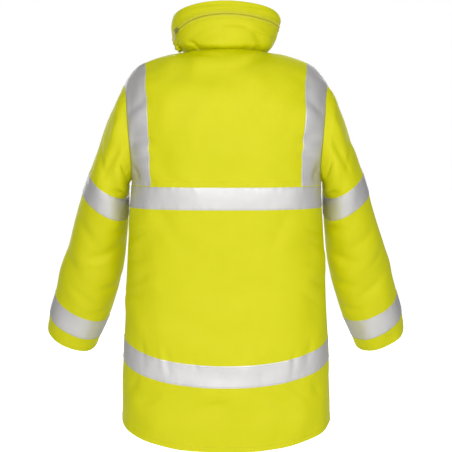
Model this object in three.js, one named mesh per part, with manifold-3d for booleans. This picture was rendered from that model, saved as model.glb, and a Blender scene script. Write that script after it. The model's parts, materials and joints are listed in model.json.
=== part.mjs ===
import * as THREE from 'three';
import Module from 'manifold-3d';
import { mergeVertices } from 'three/addons/utils/BufferGeometryUtils.js';

// A long hi-vis work jacket, worn and filled out with nobody in it. Millimetres, +Z up.
// The origin is in the middle of the neck, at the level of the back neck seam.
// The front faces -Y, the back faces +Y, and the wearer's left is +X.

const wasm = await Module();
wasm.setup();

// Walls and gaps
const CLOTH = 1.8;
const SEAM_GAP = 0.4;
const HALF_GAP = SEAM_GAP / 2;
const ARMHOLE_GAP = 0.45;
const TAPE_LIFT = 0.3;
const TAPE_WALL = 0.9;
const RIM_WALL = 5;
const STAND_WALL_FRONT = 6;
const STAND_WALL_BACK = 15;
const COLLAR_BACK_TILT = 1.1;
const COLLAR_FRONT_TILT = 2;

// Body
const BODY_ROUNDNESS = 2.6;
const UNDERARM_Z = -296;
const NECK_HALF = 88;
const NECK_Z = -2;
const NECK_BACK = 78;
const NECK_FRONT = 98;
const NECK_FRONT_DROP = 60;
const NECK_BACK_RISE = 2;
const SHOULDER_ROUND = 130;
const SHOULDER_TIP_X = 236;
const SHOULDER_TIP_Z = -76;
const ARMHOLE_HALF_DEPTH = 80;
const ARMHOLE_STEPS = 8;
const ZIP_HALF = 8;
const HEM_CURVE = 0.6;

// Body sections from the hem to the neck
const BODY_SECTIONS = [
  { z: -910, half: 246, back: 158, front: 150 },
  { z: -845, half: 247, back: 157, front: 150 },
  { z: -700, half: 242, back: 152, front: 147 },
  { z: -580, half: 236, back: 148, front: 144 },
  { z: -480, half: 232, back: 147, front: 143 },
  { z: -400, half: 227, back: 149, front: 145 },
  { z: -330, half: 222, back: 152, front: 147 },
  { z: -290, half: 219, back: 153, front: 147 },
  { z: -200, half: 219, back: 153, front: 144 },
  { z: -100, half: 219, back: 147, front: 138 },
  { z: 0, half: 219, back: 140, front: 132 },
];

// Rows of the panels below the armhole: height at the side seam, centre back and centre front
const LOW_ROWS = [
  { name: 'hem', side: -862, back: -907, front: -874 },
  { name: 'hem stitching', side: -848, back: -893, front: -860 },
  { name: 'tail', side: -800, back: -846, front: -812 },
  { name: 'tail upper', side: -754, back: -801, front: -765 },
  { name: 'hem tape bottom', side: -710, back: -760, front: -720 },
  { name: 'hem tape middle', side: -685, back: -735, front: -695 },
  { name: 'hem tape top', side: -660, back: -710, front: -670 },
  { name: 'hip', side: -616, back: -656, front: -624 },
  { name: 'hip upper', side: -568, back: -598, front: -574 },
  { name: 'waist', side: -518, back: -538, front: -522 },
  { name: 'waist upper', side: -468, back: -480, front: -470 },
  { name: 'ribs', side: -424, back: -430, front: -425 },
  { name: 'ribs upper', side: -388, back: -391, front: -388 },
  { name: 'chest tape bottom', side: -359, back: -359, front: -359 },
  { name: 'chest tape middle', side: -334, back: -334, front: -334 },
  { name: 'chest tape top', side: -309, back: -309, front: -309 },
];

// Columns of the panels, as fractions of the half width below and above the underarm
const COLUMNS = [
  { name: 'centre', low: 0, high: 0 },
  { name: 'by the centre', low: 0.1, high: 0.1 },
  { name: 'inner neck', low: 0.195, high: 0.195 },
  { name: 'outer neck', low: 0.285, high: 0.29 },
  { name: 'neck point', low: 0.373, high: NECK_HALF / SHOULDER_TIP_X },
  { name: 'inner shoulder', low: 0.47, high: 0.46 },
  { name: 'shoulder blade', low: 0.57, high: 0.56 },
  { name: 'outer blade', low: 0.67, high: 0.675 },
  { name: 'brace', low: 0.768, high: 0.79 },
  { name: 'brace quarter', low: 0.855, high: 0.84 },
  { name: 'brace middle', low: 0.925, high: 0.885 },
  { name: 'brace outer', low: 0.972, high: 0.93 },
  { name: 'by the side', low: 0.994, high: 0.965 },
  { name: 'side', low: 1, high: 1 },
];

// The armhole seam's half width at each height
const ARMHOLE_EDGE = [
  { z: -296, x: 219 },
  { z: -260, x: 217 },
  { z: -210, x: 220 },
  { z: -150, x: 225 },
  { z: -112, x: 228 },
  { z: -90, x: 232 },
  { z: -76, x: 236 },
];

// The shoulder seam's height from the neck point to the shoulder tip
const SHOULDER_LINE = [
  { x: 88, z: -2 },
  { x: 130, z: -8 },
  { x: 171, z: -20 },
  { x: 201, z: -34 },
  { x: 216, z: -48 },
  { x: 226, z: -61 },
  { x: 236, z: -76 },
];

// The largest folds: troughs are negative, and the angle is measured from level
const FOLDS = [
  { panel: 'back', x: 14, z: -26, angle: -4, length: 150, width: 16, depth: 5 },
  { panel: 'back', x: 20, z: -62, angle: 4, length: 190, width: 24, depth: -4 },
  { panel: 'back', x: -60, z: -64, angle: 24, length: 110, width: 22, depth: 4 },
  { panel: 'back', x: 196, z: -112, angle: -32, length: 90, width: 20, depth: -4 },
  { panel: 'back', x: -196, z: -112, angle: 32, length: 90, width: 20, depth: -4 },
  { panel: 'back', x: 150, z: -236, angle: 56, length: 150, width: 26, depth: -4 },
  { panel: 'back', x: -152, z: -228, angle: -58, length: 140, width: 26, depth: -4 },
  { panel: 'back', x: 196, z: -440, angle: -24, length: 130, width: 24, depth: -5 },
  { panel: 'back', x: 204, z: -560, angle: -18, length: 110, width: 26, depth: -4 },
  { panel: 'back', x: -198, z: -450, angle: 22, length: 130, width: 24, depth: -5 },
  { panel: 'back', x: -206, z: -590, angle: 30, length: 110, width: 26, depth: -4 },
  { panel: 'back', x: -40, z: -660, angle: 84, length: 130, width: 26, depth: -3 },
  { panel: 'back', x: 40, z: -812, angle: -8, length: 150, width: 26, depth: -4 },
  { panel: 'back', x: -130, z: -815, angle: 34, length: 120, width: 26, depth: -4 },
  { panel: 'front', x: 150, z: -236, angle: 58, length: 140, width: 26, depth: -5 },
  { panel: 'front', x: -148, z: -230, angle: -60, length: 140, width: 26, depth: -5 },
  { panel: 'front', x: 186, z: -470, angle: -22, length: 140, width: 26, depth: -5 },
  { panel: 'front', x: -190, z: -500, angle: 26, length: 130, width: 26, depth: -5 },
  { panel: 'front', x: 130, z: -800, angle: 28, length: 120, width: 26, depth: -4 },
  { panel: 'front', x: -140, z: -790, angle: -20, length: 120, width: 26, depth: -4 },
];

// Sleeve rings, for the wearer's left: the outer and inner ends of each ring, its middle and half
// depth from front to back, and how much lower its back hangs than its middle
const SLEEVE_SECTIONS = [
  { outX: 253, outZ: -106, inX: 227, inZ: -306, midY: -2, halfDepth: 84, backDrop: 3 },
  { outX: 275, outZ: -158, inX: 230, inZ: -313, midY: -8, halfDepth: 89, backDrop: 8 },
  { outX: 299, outZ: -217, inX: 232, inZ: -322, midY: -18, halfDepth: 91, backDrop: 14 },
  { outX: 322, outZ: -277, inX: 234, inZ: -336, midY: -30, halfDepth: 89, backDrop: 19 },
  { outX: 340, outZ: -325, inX: 236, inZ: -386, midY: -46, halfDepth: 85, backDrop: 22 },
  { outX: 364, outZ: -395, inX: 240, inZ: -444, midY: -67, halfDepth: 81, backDrop: 24 },
  { outX: 389, outZ: -464, inX: 251, inZ: -516, midY: -90, halfDepth: 77, backDrop: 25 },
  { outX: 410, outZ: -528, inX: 270, inZ: -581, midY: -112, halfDepth: 74, backDrop: 26 },
  { outX: 425, outZ: -582, inX: 290, inZ: -638, midY: -130, halfDepth: 71, backDrop: 26 },
  { outX: 440, outZ: -630, inX: 312, inZ: -685, midY: -146, halfDepth: 69, backDrop: 27 },
  { outX: 449, outZ: -672, inX: 326, inZ: -716, midY: -158, halfDepth: 66, backDrop: 25 },
];
const SLEEVE_RINGS = [0, 1, 2, 3, 3.5, 4, 4.5, 5, 5.5, 6, 6.5, 7, 7.5, 8, 8.5, 9, 10];
const UPPER_TAPE_RINGS = [3, 4];
const CUFF_TAPE_RINGS = [8, 9];
const SLEEVE_ROUNDNESS = 2.15;

// Folds across the sleeve: ring place, way round in degrees, slant, length, width and depth
const SLEEVE_FOLDS = [
  { ring: 1.2, turn: 30, slant: 0.9, length: 62, width: 0.6, depth: -6 },
  { ring: 2.4, turn: -20, slant: -0.5, length: 70, width: 0.6, depth: -5 },
  { ring: 5.2, turn: -40, slant: 0.6, length: 70, width: 0.5, depth: -6 },
  { ring: 6.4, turn: 40, slant: -0.5, length: 66, width: 0.5, depth: -5 },
  { ring: 5.7, turn: 150, slant: 0.4, length: 80, width: 0.5, depth: -7 },
  { ring: 6.9, turn: 190, slant: -0.4, length: 70, width: 0.5, depth: -6 },
];

// Collar rings above the neck seam
const COLLAR_SECTIONS = [
  { name: 'roll', half: 107, back: 93, front: 106, zBack: 10, zLeft: 9, zRight: 9, zFront: -50 },
  { name: 'low', half: 115, back: 98, front: 110, zBack: 32, zLeft: 9, zRight: 24, zFront: -34 },
  { name: 'mid', half: 119, back: 98, front: 113, zBack: 54, zLeft: 13, zRight: 36, zFront: -16 },
  { name: 'zip low', half: 121, back: 95, front: 115, zBack: 71, zLeft: 15, zRight: 44, zFront: -4 },
  { name: 'zip middle', half: 122, back: 93, front: 116, zBack: 77, zLeft: 21, zRight: 50, zFront: 2 },
  { name: 'zip high', half: 123, back: 91, front: 116, zBack: 83, zLeft: 27, zRight: 56, zFront: 8 },
  { name: 'rim', half: 127, back: 86, front: 117, zBack: 97, zLeft: 54, zRight: 69, zFront: 24 },
  { name: 'top', half: 123, back: 78, front: 116, zBack: 109, zLeft: 77, zRight: 80, zFront: 37 },
];

// Zip sliders and pulls
const SLIDER_WIDTH = 9;
const SLIDER_HEIGHT = 12;
const SLIDER_WALL = 3;
const LUG_WIDTH = 1.6;
const LUG_REACH = 5;
const LUG_HEIGHT = 5;
const PULL_AXIS_REACH = 3.1;
const PULL_TONGUE = 3.4;
const PULL_WALL = 1.4;
const PULL_PLATE = 7;
const PULL_LENGTH = 24;
const FRONT_SLIDER_Z = 12;
const STRIP_TOP = TAPE_LIFT + TAPE_WALL;

const materials = {
  cloth: new THREE.MeshStandardMaterial({ color: 0xdde021, roughness: 0.6, metalness: 0 }),
  tape: new THREE.MeshStandardMaterial({ color: 0xc6c5c4, roughness: 0.4, metalness: 0.5 }),
  zip: new THREE.MeshStandardMaterial({ color: 0xc9c81c, roughness: 0.5, metalness: 0 }),
  metal: new THREE.MeshStandardMaterial({ color: 0x8f8f8a, roughness: 0.35, metalness: 0.9 }),
};

const jacket = new THREE.Group();

function addMesh(name, geometry, material) {
  const mesh = new THREE.Mesh(geometry, material);
  mesh.name = name;
  jacket.add(mesh);
  return mesh;
}

// Reads one field of a table at a place between its rows, on a smooth curve through them
function reading(table, key, field, at) {
  const rising = table[0][key] < table[table.length - 1][key];
  const rows = rising ? table : [...table].reverse();
  const place = Math.min(Math.max(at, rows[0][key]), rows[rows.length - 1][key]);
  let low = 0;
  while (low < rows.length - 2 && rows[low + 1][key] < place) low += 1;
  const slope = (a, b) => (rows[b][field] - rows[a][field]) / (rows[b][key] - rows[a][key]);
  const span = rows[low + 1][key] - rows[low][key];
  const part = (place - rows[low][key]) / span;
  const startSlope = slope(Math.max(low - 1, 0), low + 1) * span;
  const endSlope = slope(low, Math.min(low + 2, rows.length - 1)) * span;
  const squared = part * part;
  const cubed = squared * part;
  return (2 * cubed - 3 * squared + 1) * rows[low][field]
    + (cubed - 2 * squared + part) * startSlope
    + (3 * squared - 2 * cubed) * rows[low + 1][field]
    + (cubed - squared) * endSlope;
}

const numbered = (table) => table.map((row, index) => ({ ...row, index }));
const sleeveTable = numbered(SLEEVE_SECTIONS);

// A power that keeps the sign of its base
const signedPower = (value, power) => Math.sign(value) * Math.abs(value) ** power;

// How far one table fold moves a place on a panel, from 0 to 1, across and along its line
function foldShare(fold, across, along) {
  const end = Math.min(Math.abs(along) / (fold.length / 2), 1);
  return Math.exp(-((across / fold.width) ** 2)) * (1 - end * end) ** 2;
}

function panelFold(facing, x, z) {
  const panel = facing > 0 ? 'back' : 'front';
  let lift = 0;
  for (const fold of FOLDS.filter((row) => row.panel === panel)) {
    const turn = THREE.MathUtils.degToRad(fold.angle);
    const dx = x - fold.x;
    const dz = z - fold.z;
    const along = dx * Math.cos(turn) + dz * Math.sin(turn);
    const across = dz * Math.cos(turn) - dx * Math.sin(turn);
    lift += fold.depth * foldShare(fold, across, along);
  }
  return lift;
}

// The top line of the panels: the neck seam, then the shoulder seam
function topLine(facing, x) {
  const reach = Math.abs(x);
  if (reach >= NECK_HALF) {
    return { y: facing * HALF_GAP, z: reading(SHOULDER_LINE, 'x', 'z', reach) };
  }
  const round = Math.sqrt(1 - (reach / NECK_HALF) ** 2);
  const depth = facing > 0 ? NECK_BACK : NECK_FRONT;
  const height = facing > 0 ? NECK_BACK_RISE : -NECK_FRONT_DROP;
  return { y: facing * (HALF_GAP + depth * round), z: NECK_Z + height * round * round };
}

// The share of the full depth that a panel has at some drop below the top line
function topRounding(drop, x) {
  const near = 1 - Math.min(Math.max(drop, 0) / SHOULDER_ROUND, 1);
  const stiffness = 1.2 + 0.8 * Math.min(Math.abs(x) / NECK_HALF, 1) ** 2;
  return (1 - near * near) ** (1 / stiffness);
}

const bodyDepth = (facing, z) => reading(BODY_SECTIONS, 'z', facing > 0 ? 'back' : 'front', z);

// The body below the underarm. A given x keeps a piece by the zip at its own distance.
function lowPoint(facing, row, share, ownX) {
  const centre = facing > 0 ? row.back : row.front;
  const z = row.side + (centre - row.side) * (1 - share * share) ** HEM_CURVE;
  const half = reading(BODY_SECTIONS, 'z', 'half', z);
  const depth = bodyDepth(facing, z);
  const x = ownX ?? share * half;
  const round = (1 - Math.min(Math.abs(x) / half, 1) ** BODY_ROUNDNESS) ** (1 / BODY_ROUNDNESS);
  const lift = panelFold(facing, x, z) * Math.min(1, 6 * (1 - Math.abs(share)));
  const point = new THREE.Vector3(x, facing * (HALF_GAP + depth * round), z);
  const sideways = Math.abs(x / half) ** 6;
  point.x += Math.sign(x) * lift * sideways;
  point.y += facing * lift * Math.sqrt(1 - sideways ** 2);
  return point;
}

// The body above the underarm, where a panel ends at the armhole
function highPoint(facing, part, share, ownX) {
  const edgeZ = UNDERARM_Z + (SHOULDER_TIP_Z - UNDERARM_Z) * part;
  const edgeX = reading(ARMHOLE_EDGE, 'z', 'x', edgeZ);
  const topX = ownX ?? share * SHOULDER_TIP_X;
  const top = topLine(facing, topX);
  const x = ownX ?? share * edgeX;
  const z = UNDERARM_Z + (top.z - UNDERARM_Z) * part;
  const full = bodyDepth(facing, z);
  const edgeRound = topRounding((1 - part) * (SHOULDER_TIP_Z - UNDERARM_Z), SHOULDER_TIP_X);
  const oval = 2 * Math.sqrt(part * (1 - part));
  const edgeDepth = part < 1 ? ARMHOLE_HALF_DEPTH * oval / edgeRound : ARMHOLE_HALF_DEPTH;
  const fullness = (1 - (edgeDepth / full) ** BODY_ROUNDNESS) ** (1 / BODY_ROUNDNESS);
  const reach = Math.min(Math.abs(x / edgeX) * fullness, 1);
  const round = full * (1 - reach ** BODY_ROUNDNESS) ** (1 / BODY_ROUNDNESS);
  const taper = Math.min(1, 6 * (1 - Math.abs(share))) * Math.min(1, 8 * (1 - part));
  const lift = panelFold(facing, x, z) * taper;
  const share01 = topRounding(top.z - z, topX);
  const y = top.y + (facing * (HALF_GAP + round) - top.y) * share01 + facing * lift;
  return new THREE.Vector3(x, y, z);
}

// The share of the way from the low columns to the high ones
const columnShare = (column, part) => {
  const blend = Math.min(part / 0.15, 1);
  return column.low + (column.high - column.low) * blend;
};

const HIGH_PARTS = Array.from({ length: ARMHOLE_STEPS + 1 },
  (unused, step) => (1 - Math.cos(Math.PI * step / ARMHOLE_STEPS)) / 2);
const FIRST_HIGH_ROW = LOW_ROWS.length;
const rowIndex = (name) => LOW_ROWS.findIndex((row) => row.name === name);
const columnIndex = (name) => COLUMNS.findIndex((column) => column.name === name);

// Points of a panel from the hem to the top line, a row at a time
function panelPoints(facing, places) {
  const low = LOW_ROWS.map((row) => places.map(
    ({ column, side, ownX }) => lowPoint(facing, row, side * column.low, ownX)));
  const high = HIGH_PARTS.map((part) => places.map(
    ({ column, side, ownX }) => highPoint(facing, part, side * columnShare(column, part), ownX)));
  return [...low, ...high];
}

// Joins points to their outward directions
function skinOf(points, outward, closed, adjust) {
  const lastRow = points.length - 1;
  const count = points[0].length;
  return points.map((row, i) => row.map((point, j) => {
    const before = closed ? row[(j + count - 1) % count] : row[Math.max(j - 1, 0)];
    const after = closed ? row[(j + 1) % count] : row[Math.min(j + 1, count - 1)];
    const below = points[Math.max(i - 1, 0)][j];
    const above = points[Math.min(i + 1, lastRow)][j];
    const across = after.clone().sub(before);
    const up = above.clone().sub(below);
    const normal = across.cross(up).normalize();
    if (normal.dot(outward(point, i)) < 0) normal.negate();
    if (adjust) adjust(normal, i, j);
    return { point, normal };
  }));
}

const moved = (spot, distance) => spot.point.clone().addScaledVector(spot.normal, distance);

// A closed wall between two distances from a skin; a distance may be a function of the spot
function wall(skin, inside, outside, closed = false) {
  const rows = skin.length;
  const columns = skin[0].length;
  const positions = [];
  for (const distance of [outside, inside]) {
    for (const row of skin) {
      row.forEach((spot) => {
        const offset = typeof distance === 'function' ? distance(spot) : distance;
        positions.push(...moved(spot, offset).toArray());
      });
    }
  }
  const indices = [];
  const at = (layer, i, j) => layer * rows * columns + i * columns + (j % columns);
  const quad = (a, b, c, d) => indices.push(a, b, c, a, c, d);
  const lastRow = rows - 1;
  const lastColumn = closed ? columns : columns - 1;
  for (let j = 0; j < lastColumn; j += 1) {
    for (let i = 0; i < lastRow; i += 1) {
      quad(at(0, i, j), at(0, i, j + 1), at(0, i + 1, j + 1), at(0, i + 1, j));
      quad(at(1, i, j), at(1, i + 1, j), at(1, i + 1, j + 1), at(1, i, j + 1));
    }
    quad(at(0, 0, j), at(1, 0, j), at(1, 0, j + 1), at(0, 0, j + 1));
    quad(at(0, lastRow, j), at(0, lastRow, j + 1), at(1, lastRow, j + 1), at(1, lastRow, j));
  }
  if (!closed) {
    for (let i = 0; i < lastRow; i += 1) {
      quad(at(0, i, 0), at(0, i + 1, 0), at(1, i + 1, 0), at(1, i, 0));
      quad(at(0, i, lastColumn), at(1, i, lastColumn), at(1, i + 1, lastColumn), at(0, i + 1, lastColumn));
    }
  }
  if (signedVolume(positions, indices) < 0) {
    indices.reverse();
  }
  const geometry = new THREE.BufferGeometry();
  geometry.setAttribute('position', new THREE.Float32BufferAttribute(positions, 3));
  geometry.setIndex(indices);
  geometry.computeVertexNormals();
  return geometry;
}

function signedVolume(positions, indices) {
  const corner = (index) => new THREE.Vector3().fromArray(positions, index * 3);
  let sum = 0;
  for (let i = 0; i < indices.length; i += 3) {
    const [a, b, c] = [corner(indices[i]), corner(indices[i + 1]), corner(indices[i + 2])];
    sum += a.dot(b.cross(c)) / 6;
  }
  return sum;
}

// A part of a skin, with each named end drawn in by a small distance along the skin
function sliceOf(skin, rows, columns, drawnIn = {}) {
  const [firstRow, lastRow] = rows;
  const [firstColumn, lastColumn] = columns;
  const cut = skin.slice(firstRow, lastRow + 1).map((row) => row.slice(firstColumn, lastColumn + 1));
  const between = (spot, other, distance) => {
    const step = other.point.clone().sub(spot.point);
    const share = distance / step.length();
    return {
      point: spot.point.clone().addScaledVector(step, share),
      normal: spot.normal.clone().lerp(other.normal, share).normalize(),
    };
  };
  const count = cut.length;
  if (drawnIn.bottom) cut[0] = cut[0].map((spot, j) => between(spot, cut[1][j], drawnIn.bottom));
  if (drawnIn.top) {
    cut[count - 1] = cut[count - 1].map((spot, j) => between(spot, cut[count - 2][j], drawnIn.top));
  }
  return cut.map((row) => {
    const drawn = [...row];
    const end = row.length - 1;
    if (drawnIn.start) drawn[0] = between(row[0], row[1], drawnIn.start);
    if (drawnIn.end) drawn[end] = between(row[end], row[end - 1], drawnIn.end);
    return drawn;
  });
}

// The direction away from the body's upright axis, rising near the top line
const awayFromBody = (point, row) => new THREE.Vector3(
  point.x / 230, point.y / 150, row >= FIRST_HIGH_ROW + 5 ? 1 : 0);

// Seam ends of a panel keep to their seam's plane
function keepSeamPlane(normal, row, isSide, isTop) {
  if ((isSide && row <= FIRST_HIGH_ROW) || isTop) normal.setY(0).normalize();
}

const LAST_ROW = LOW_ROWS.length + HIGH_PARTS.length - 1;
const SIDE = COLUMNS.length - 1;

function backSkin() {
  const half = COLUMNS.map((column) => ({ column, side: 1 }));
  const other = half.slice(1).reverse().map(({ column }) => ({ column, side: -1 }));
  const places = [...other, ...half];
  const neckPoint = columnIndex('neck point');
  return skinOf(panelPoints(1, places), awayFromBody, false, (normal, i, j) => {
    const away = Math.abs(j - SIDE);
    keepSeamPlane(normal, i, away === SIDE, i === LAST_ROW && away >= neckPoint);
  });
}

function frontSkin(side) {
  const places = COLUMNS.map((column, index) => (
    index === 0 ? { column, side, ownX: side * ZIP_HALF } : { column, side }));
  const neckPoint = columnIndex('neck point');
  return skinOf(panelPoints(-1, places), awayFromBody, false, (normal, i, j) => {
    if (j === 0) normal.setX(0).normalize();
    keepSeamPlane(normal, i, j === SIDE, i === LAST_ROW && j >= neckPoint);
  });
}

const back = backSkin();
const front = { left: frontSkin(1), right: frontSkin(-1) };
const SIDES = [{ name: 'left', side: 1 }, { name: 'right', side: -1 }];

function buildPanels() {
  addMesh('back_panel', wall(back, -CLOTH, 0), materials.cloth);
  for (const { name } of SIDES) {
    addMesh(`front_${name}`, wall(front[name], -CLOTH, 0), materials.cloth);
  }
}

const tapeWall = (skin, closed) => wall(skin, TAPE_LIFT, TAPE_LIFT + TAPE_WALL, closed);

// Bands round the body and braces over the shoulders
function buildBodyTapes() {
  const bands = [
    { name: 'chest', rows: [rowIndex('chest tape bottom'), rowIndex('chest tape top')] },
    { name: 'hem', rows: [rowIndex('hem tape bottom'), rowIndex('hem tape top')] },
  ];
  for (const band of bands) {
    const around = sliceOf(back, band.rows, [0, 2 * SIDE]);
    addMesh(`${band.name}_tape_back`, tapeWall(around), materials.tape);
    for (const { name } of SIDES) {
      const half = sliceOf(front[name], band.rows, [0, SIDE]);
      addMesh(`${band.name}_tape_front_${name}`, tapeWall(half), materials.tape);
    }
  }
  const inner = columnIndex('brace');
  const rows = [rowIndex('chest tape top'), LAST_ROW];
  for (const { name, side } of SIDES) {
    const columns = side > 0 ? [SIDE + inner, 2 * SIDE] : [0, SIDE - inner];
    const drawn = side > 0 ? { end: SEAM_GAP } : { start: SEAM_GAP };
    const backBrace = sliceOf(back, rows, columns, { bottom: SEAM_GAP, ...drawn });
    addMesh(`brace_tape_back_${name}`, tapeWall(backBrace), materials.tape);
    const frontBrace = sliceOf(front[name], rows, [inner, SIDE], { bottom: SEAM_GAP, end: SEAM_GAP });
    addMesh(`brace_tape_front_${name}`, tapeWall(frontBrace), materials.tape);
  }
}

// A spot halfway between two others
const middle = (a, b) => ({
  point: a.point.clone().lerp(b.point, 0.5),
  normal: a.normal.clone().add(b.normal).multiplyScalar(0.5),
  conormal: a.conormal.clone().add(b.conormal).normalize(),
});

// The armhole seam as a loop: up the back from the underarm, then down the front
function armholeLoop(side) {
  const name = side > 0 ? 'left' : 'right';
  const backEdge = side > 0 ? 2 * SIDE : 0;
  const edgeOf = (skin, edge, inward) => {
    const rows = skin.slice(FIRST_HIGH_ROW);
    return rows.map((row, step) => {
      const spot = row[edge];
      const along = rows[Math.min(step + 1, ARMHOLE_STEPS)][edge].point.clone()
        .sub(rows[Math.max(step - 1, 0)][edge].point);
      const conormal = along.cross(spot.normal).normalize();
      if (conormal.dot(spot.point.clone().sub(row[inward].point)) < 0) conormal.negate();
      return { point: spot.point, normal: spot.normal, conormal };
    });
  };
  const up = edgeOf(back, backEdge, backEdge - side);
  const down = edgeOf(front[name], SIDE, SIDE - 1).reverse();
  const underarm = middle(up[0], down[ARMHOLE_STEPS]);
  underarm.conormal = new THREE.Vector3(0, 0, 1);
  const tip = middle(up[ARMHOLE_STEPS], down[0]);
  const corners = [underarm, ...up.slice(1, -1), tip, ...down.slice(1, -1)];
  return corners.flatMap((spot, index) => {
    const next = corners[(index + 1) % corners.length];
    return [spot, middle(spot, next)];
  });
}

function sleeveFold(ring, turn) {
  let lift = 0;
  for (const fold of SLEEVE_FOLDS) {
    const round = ((turn - fold.turn + 540) % 360) - 180;
    const across = ring - fold.ring - fold.slant * round / 90;
    lift += fold.depth * foldShare({ ...fold, length: 2 * fold.length }, across, round);
  }
  return lift;
}

// One ring of a sleeve; the turn starts at the inner side and goes round by the back
function sleeveRing(side, ring, count) {
  const read = (field) => reading(sleeveTable, 'index', field, ring);
  const outer = new THREE.Vector3(read('outX'), 0, read('outZ'));
  const inner = new THREE.Vector3(read('inX'), 0, read('inZ'));
  const centre = outer.clone().add(inner).multiplyScalar(0.5).setY(read('midY'));
  const across = outer.sub(inner).multiplyScalar(0.5);
  const depth = new THREE.Vector3(0, read('halfDepth'), -read('backDrop'));
  return Array.from({ length: count }, (unused, index) => {
    const turn = 360 * index / count - 90;
    const angle = THREE.MathUtils.degToRad(turn);
    const power = 2 / SLEEVE_ROUNDNESS;
    const scale = 1 + sleeveFold(ring, turn) / read('halfDepth');
    const point = centre.clone()
      .addScaledVector(across, scale * signedPower(Math.sin(angle), power))
      .addScaledVector(depth, scale * signedPower(Math.cos(angle), power));
    point.x *= side;
    return point;
  });
}

function sleeveSkin(side) {
  const loop = armholeLoop(side);
  const rings = [loop.map((spot) => spot.point.clone().addScaledVector(spot.conormal, ARMHOLE_GAP))];
  for (const place of SLEEVE_RINGS) rings.push(sleeveRing(side, place, loop.length));
  const centres = rings.map((ring) => ring.reduce(
    (sum, point) => sum.addScaledVector(point, 1 / ring.length), new THREE.Vector3()));
  const skin = skinOf(rings, (point, i) => point.clone().sub(centres[i]), true);
  skin[0].forEach((spot, index) => spot.normal.copy(loop[index].normal));
  return skin;
}

function buildSleeves() {
  for (const { name, side } of SIDES) {
    const skin = sleeveSkin(side);
    addMesh(`sleeve_${name}`, wall(skin, -CLOTH, 0, true), materials.cloth);
    const ringRow = (ring) => SLEEVE_RINGS.indexOf(ring) + 1;
    const bands = [{ name: 'upper', rings: UPPER_TAPE_RINGS }, { name: 'cuff', rings: CUFF_TAPE_RINGS }];
    for (const band of bands) {
      const rows = band.rings.map(ringRow);
      const around = sliceOf(skin, rows, [0, skin[0].length - 1]);
      addMesh(`sleeve_tape_${band.name}_${name}`, tapeWall(around, true), materials.tape);
    }
  }
}

// The neck seam as a line from the left front edge round the back to the right front edge
function neckLine() {
  const neckPoint = columnIndex('neck point');
  const top = (skin, column) => skin[LAST_ROW][column].point;
  const leftFront = COLUMNS.slice(0, neckPoint).map((unused, j) => top(front.left, j));
  const around = Array.from({ length: 2 * neckPoint + 1 }, (unused, j) => top(back, SIDE + neckPoint - j));
  const rightFront = COLUMNS.slice(0, neckPoint).map((unused, j) => top(front.right, j)).reverse();
  const corners = [...leftFront, ...around, ...rightFront].map((point) => point.clone());
  corners[neckPoint].setY(0);
  corners[3 * neckPoint].setY(0);
  return corners.flatMap((point, index) => (
    index < corners.length - 1 ? [point, point.clone().lerp(corners[index + 1], 0.5)] : [point]));
}

// One collar ring over the neck line
function collarRing(section, base) {
  return base.map((point) => {
    const side = Math.sign(point.x) || 1;
    const reach = Math.min(Math.abs(point.x), NECK_HALF);
    const spread = (section.half - ZIP_HALF) / (NECK_HALF - ZIP_HALF);
    const isFront = point.y < 0;
    const x = isFront
      ? side * (ZIP_HALF + (reach - ZIP_HALF) * spread)
      : side * reach * section.half / NECK_HALF;
    const share = Math.min(Math.abs(x) / section.half, 1);
    const round = Math.sqrt(1 - share * share);
    const y = isFront ? -section.front * round : section.back * round;
    const sideZ = side > 0 ? section.zLeft : section.zRight;
    const endZ = isFront ? section.zFront : section.zBack;
    const middleZ = (section.zLeft + section.zRight) / 2;
    const leanZ = middleZ + (sideZ - middleZ) * share;
    const tilt = isFront ? COLLAR_FRONT_TILT : COLLAR_BACK_TILT;
    return new THREE.Vector3(x, y, leanZ + (endZ - leanZ) * round ** tilt);
  });
}

function collarSkin() {
  const line = neckLine();
  const base = line.map((point) => point.clone().setZ(point.z + SEAM_GAP));
  const rings = [base, ...COLLAR_SECTIONS.map((section) => collarRing(section, line))];
  const last = line.length - 1;
  return skinOf(rings, (point) => new THREE.Vector3(point.x, point.y, 0), false, (normal, i, j) => {
    if (i === 0) normal.setZ(0).normalize();
    if (j === 0 || j === last) normal.setX(0).normalize();
  });
}

const collar = collarSkin();
const collarRow = (name) => COLLAR_SECTIONS.findIndex((section) => section.name === name) + 1;
const collarEnd = collar[0].length - 1;
const collarSide = 2 * columnIndex('neck point');

function buildCollar() {
  const boundary = collarRow('zip middle');
  const standWall = ({ point }) => {
    const back = Math.max(point.y, 0) / NECK_BACK;
    return -(STAND_WALL_FRONT + (STAND_WALL_BACK - STAND_WALL_FRONT) * Math.min(back, 1));
  };
  const stand = sliceOf(collar, [0, boundary], [0, collarEnd], { top: HALF_GAP });
  addMesh('collar_stand', wall(stand, standWall, 0), materials.cloth);
  const rim = sliceOf(collar, [boundary, COLLAR_SECTIONS.length], [0, collarEnd], { bottom: HALF_GAP });
  addMesh('collar_rim', wall(rim, -RIM_WALL, 0), materials.cloth);
  const rows = [collarRow('zip low'), collarRow('zip high')];
  const strip = sliceOf(collar, rows, [collarSide, collarEnd - collarSide]);
  addMesh('hood_zip', tapeWall(strip), materials.zip);
}

// The two halves of the front zip, from the hem to the collar's top
function buildFrontZip() {
  for (const { name, side } of SIDES) {
    const collarColumn = side > 0 ? 0 : collarEnd;
    const lower = front[name].map((row) => row[0].point);
    const upper = collar.slice(1).map((row) => row[collarColumn].point);
    const places = [...lower, ...upper].map(({ y, z }) => (
      [HALF_GAP, ZIP_HALF - SEAM_GAP].map((x) => new THREE.Vector3(side * x, y, z))));
    const skin = skinOf(places, () => new THREE.Vector3(0, -1, 0.1), false,
      (normal) => normal.setX(0).normalize());
    addMesh(`front_zip_${name}`, wall(skin, -CLOTH, 0), materials.zip);
  }
}

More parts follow.
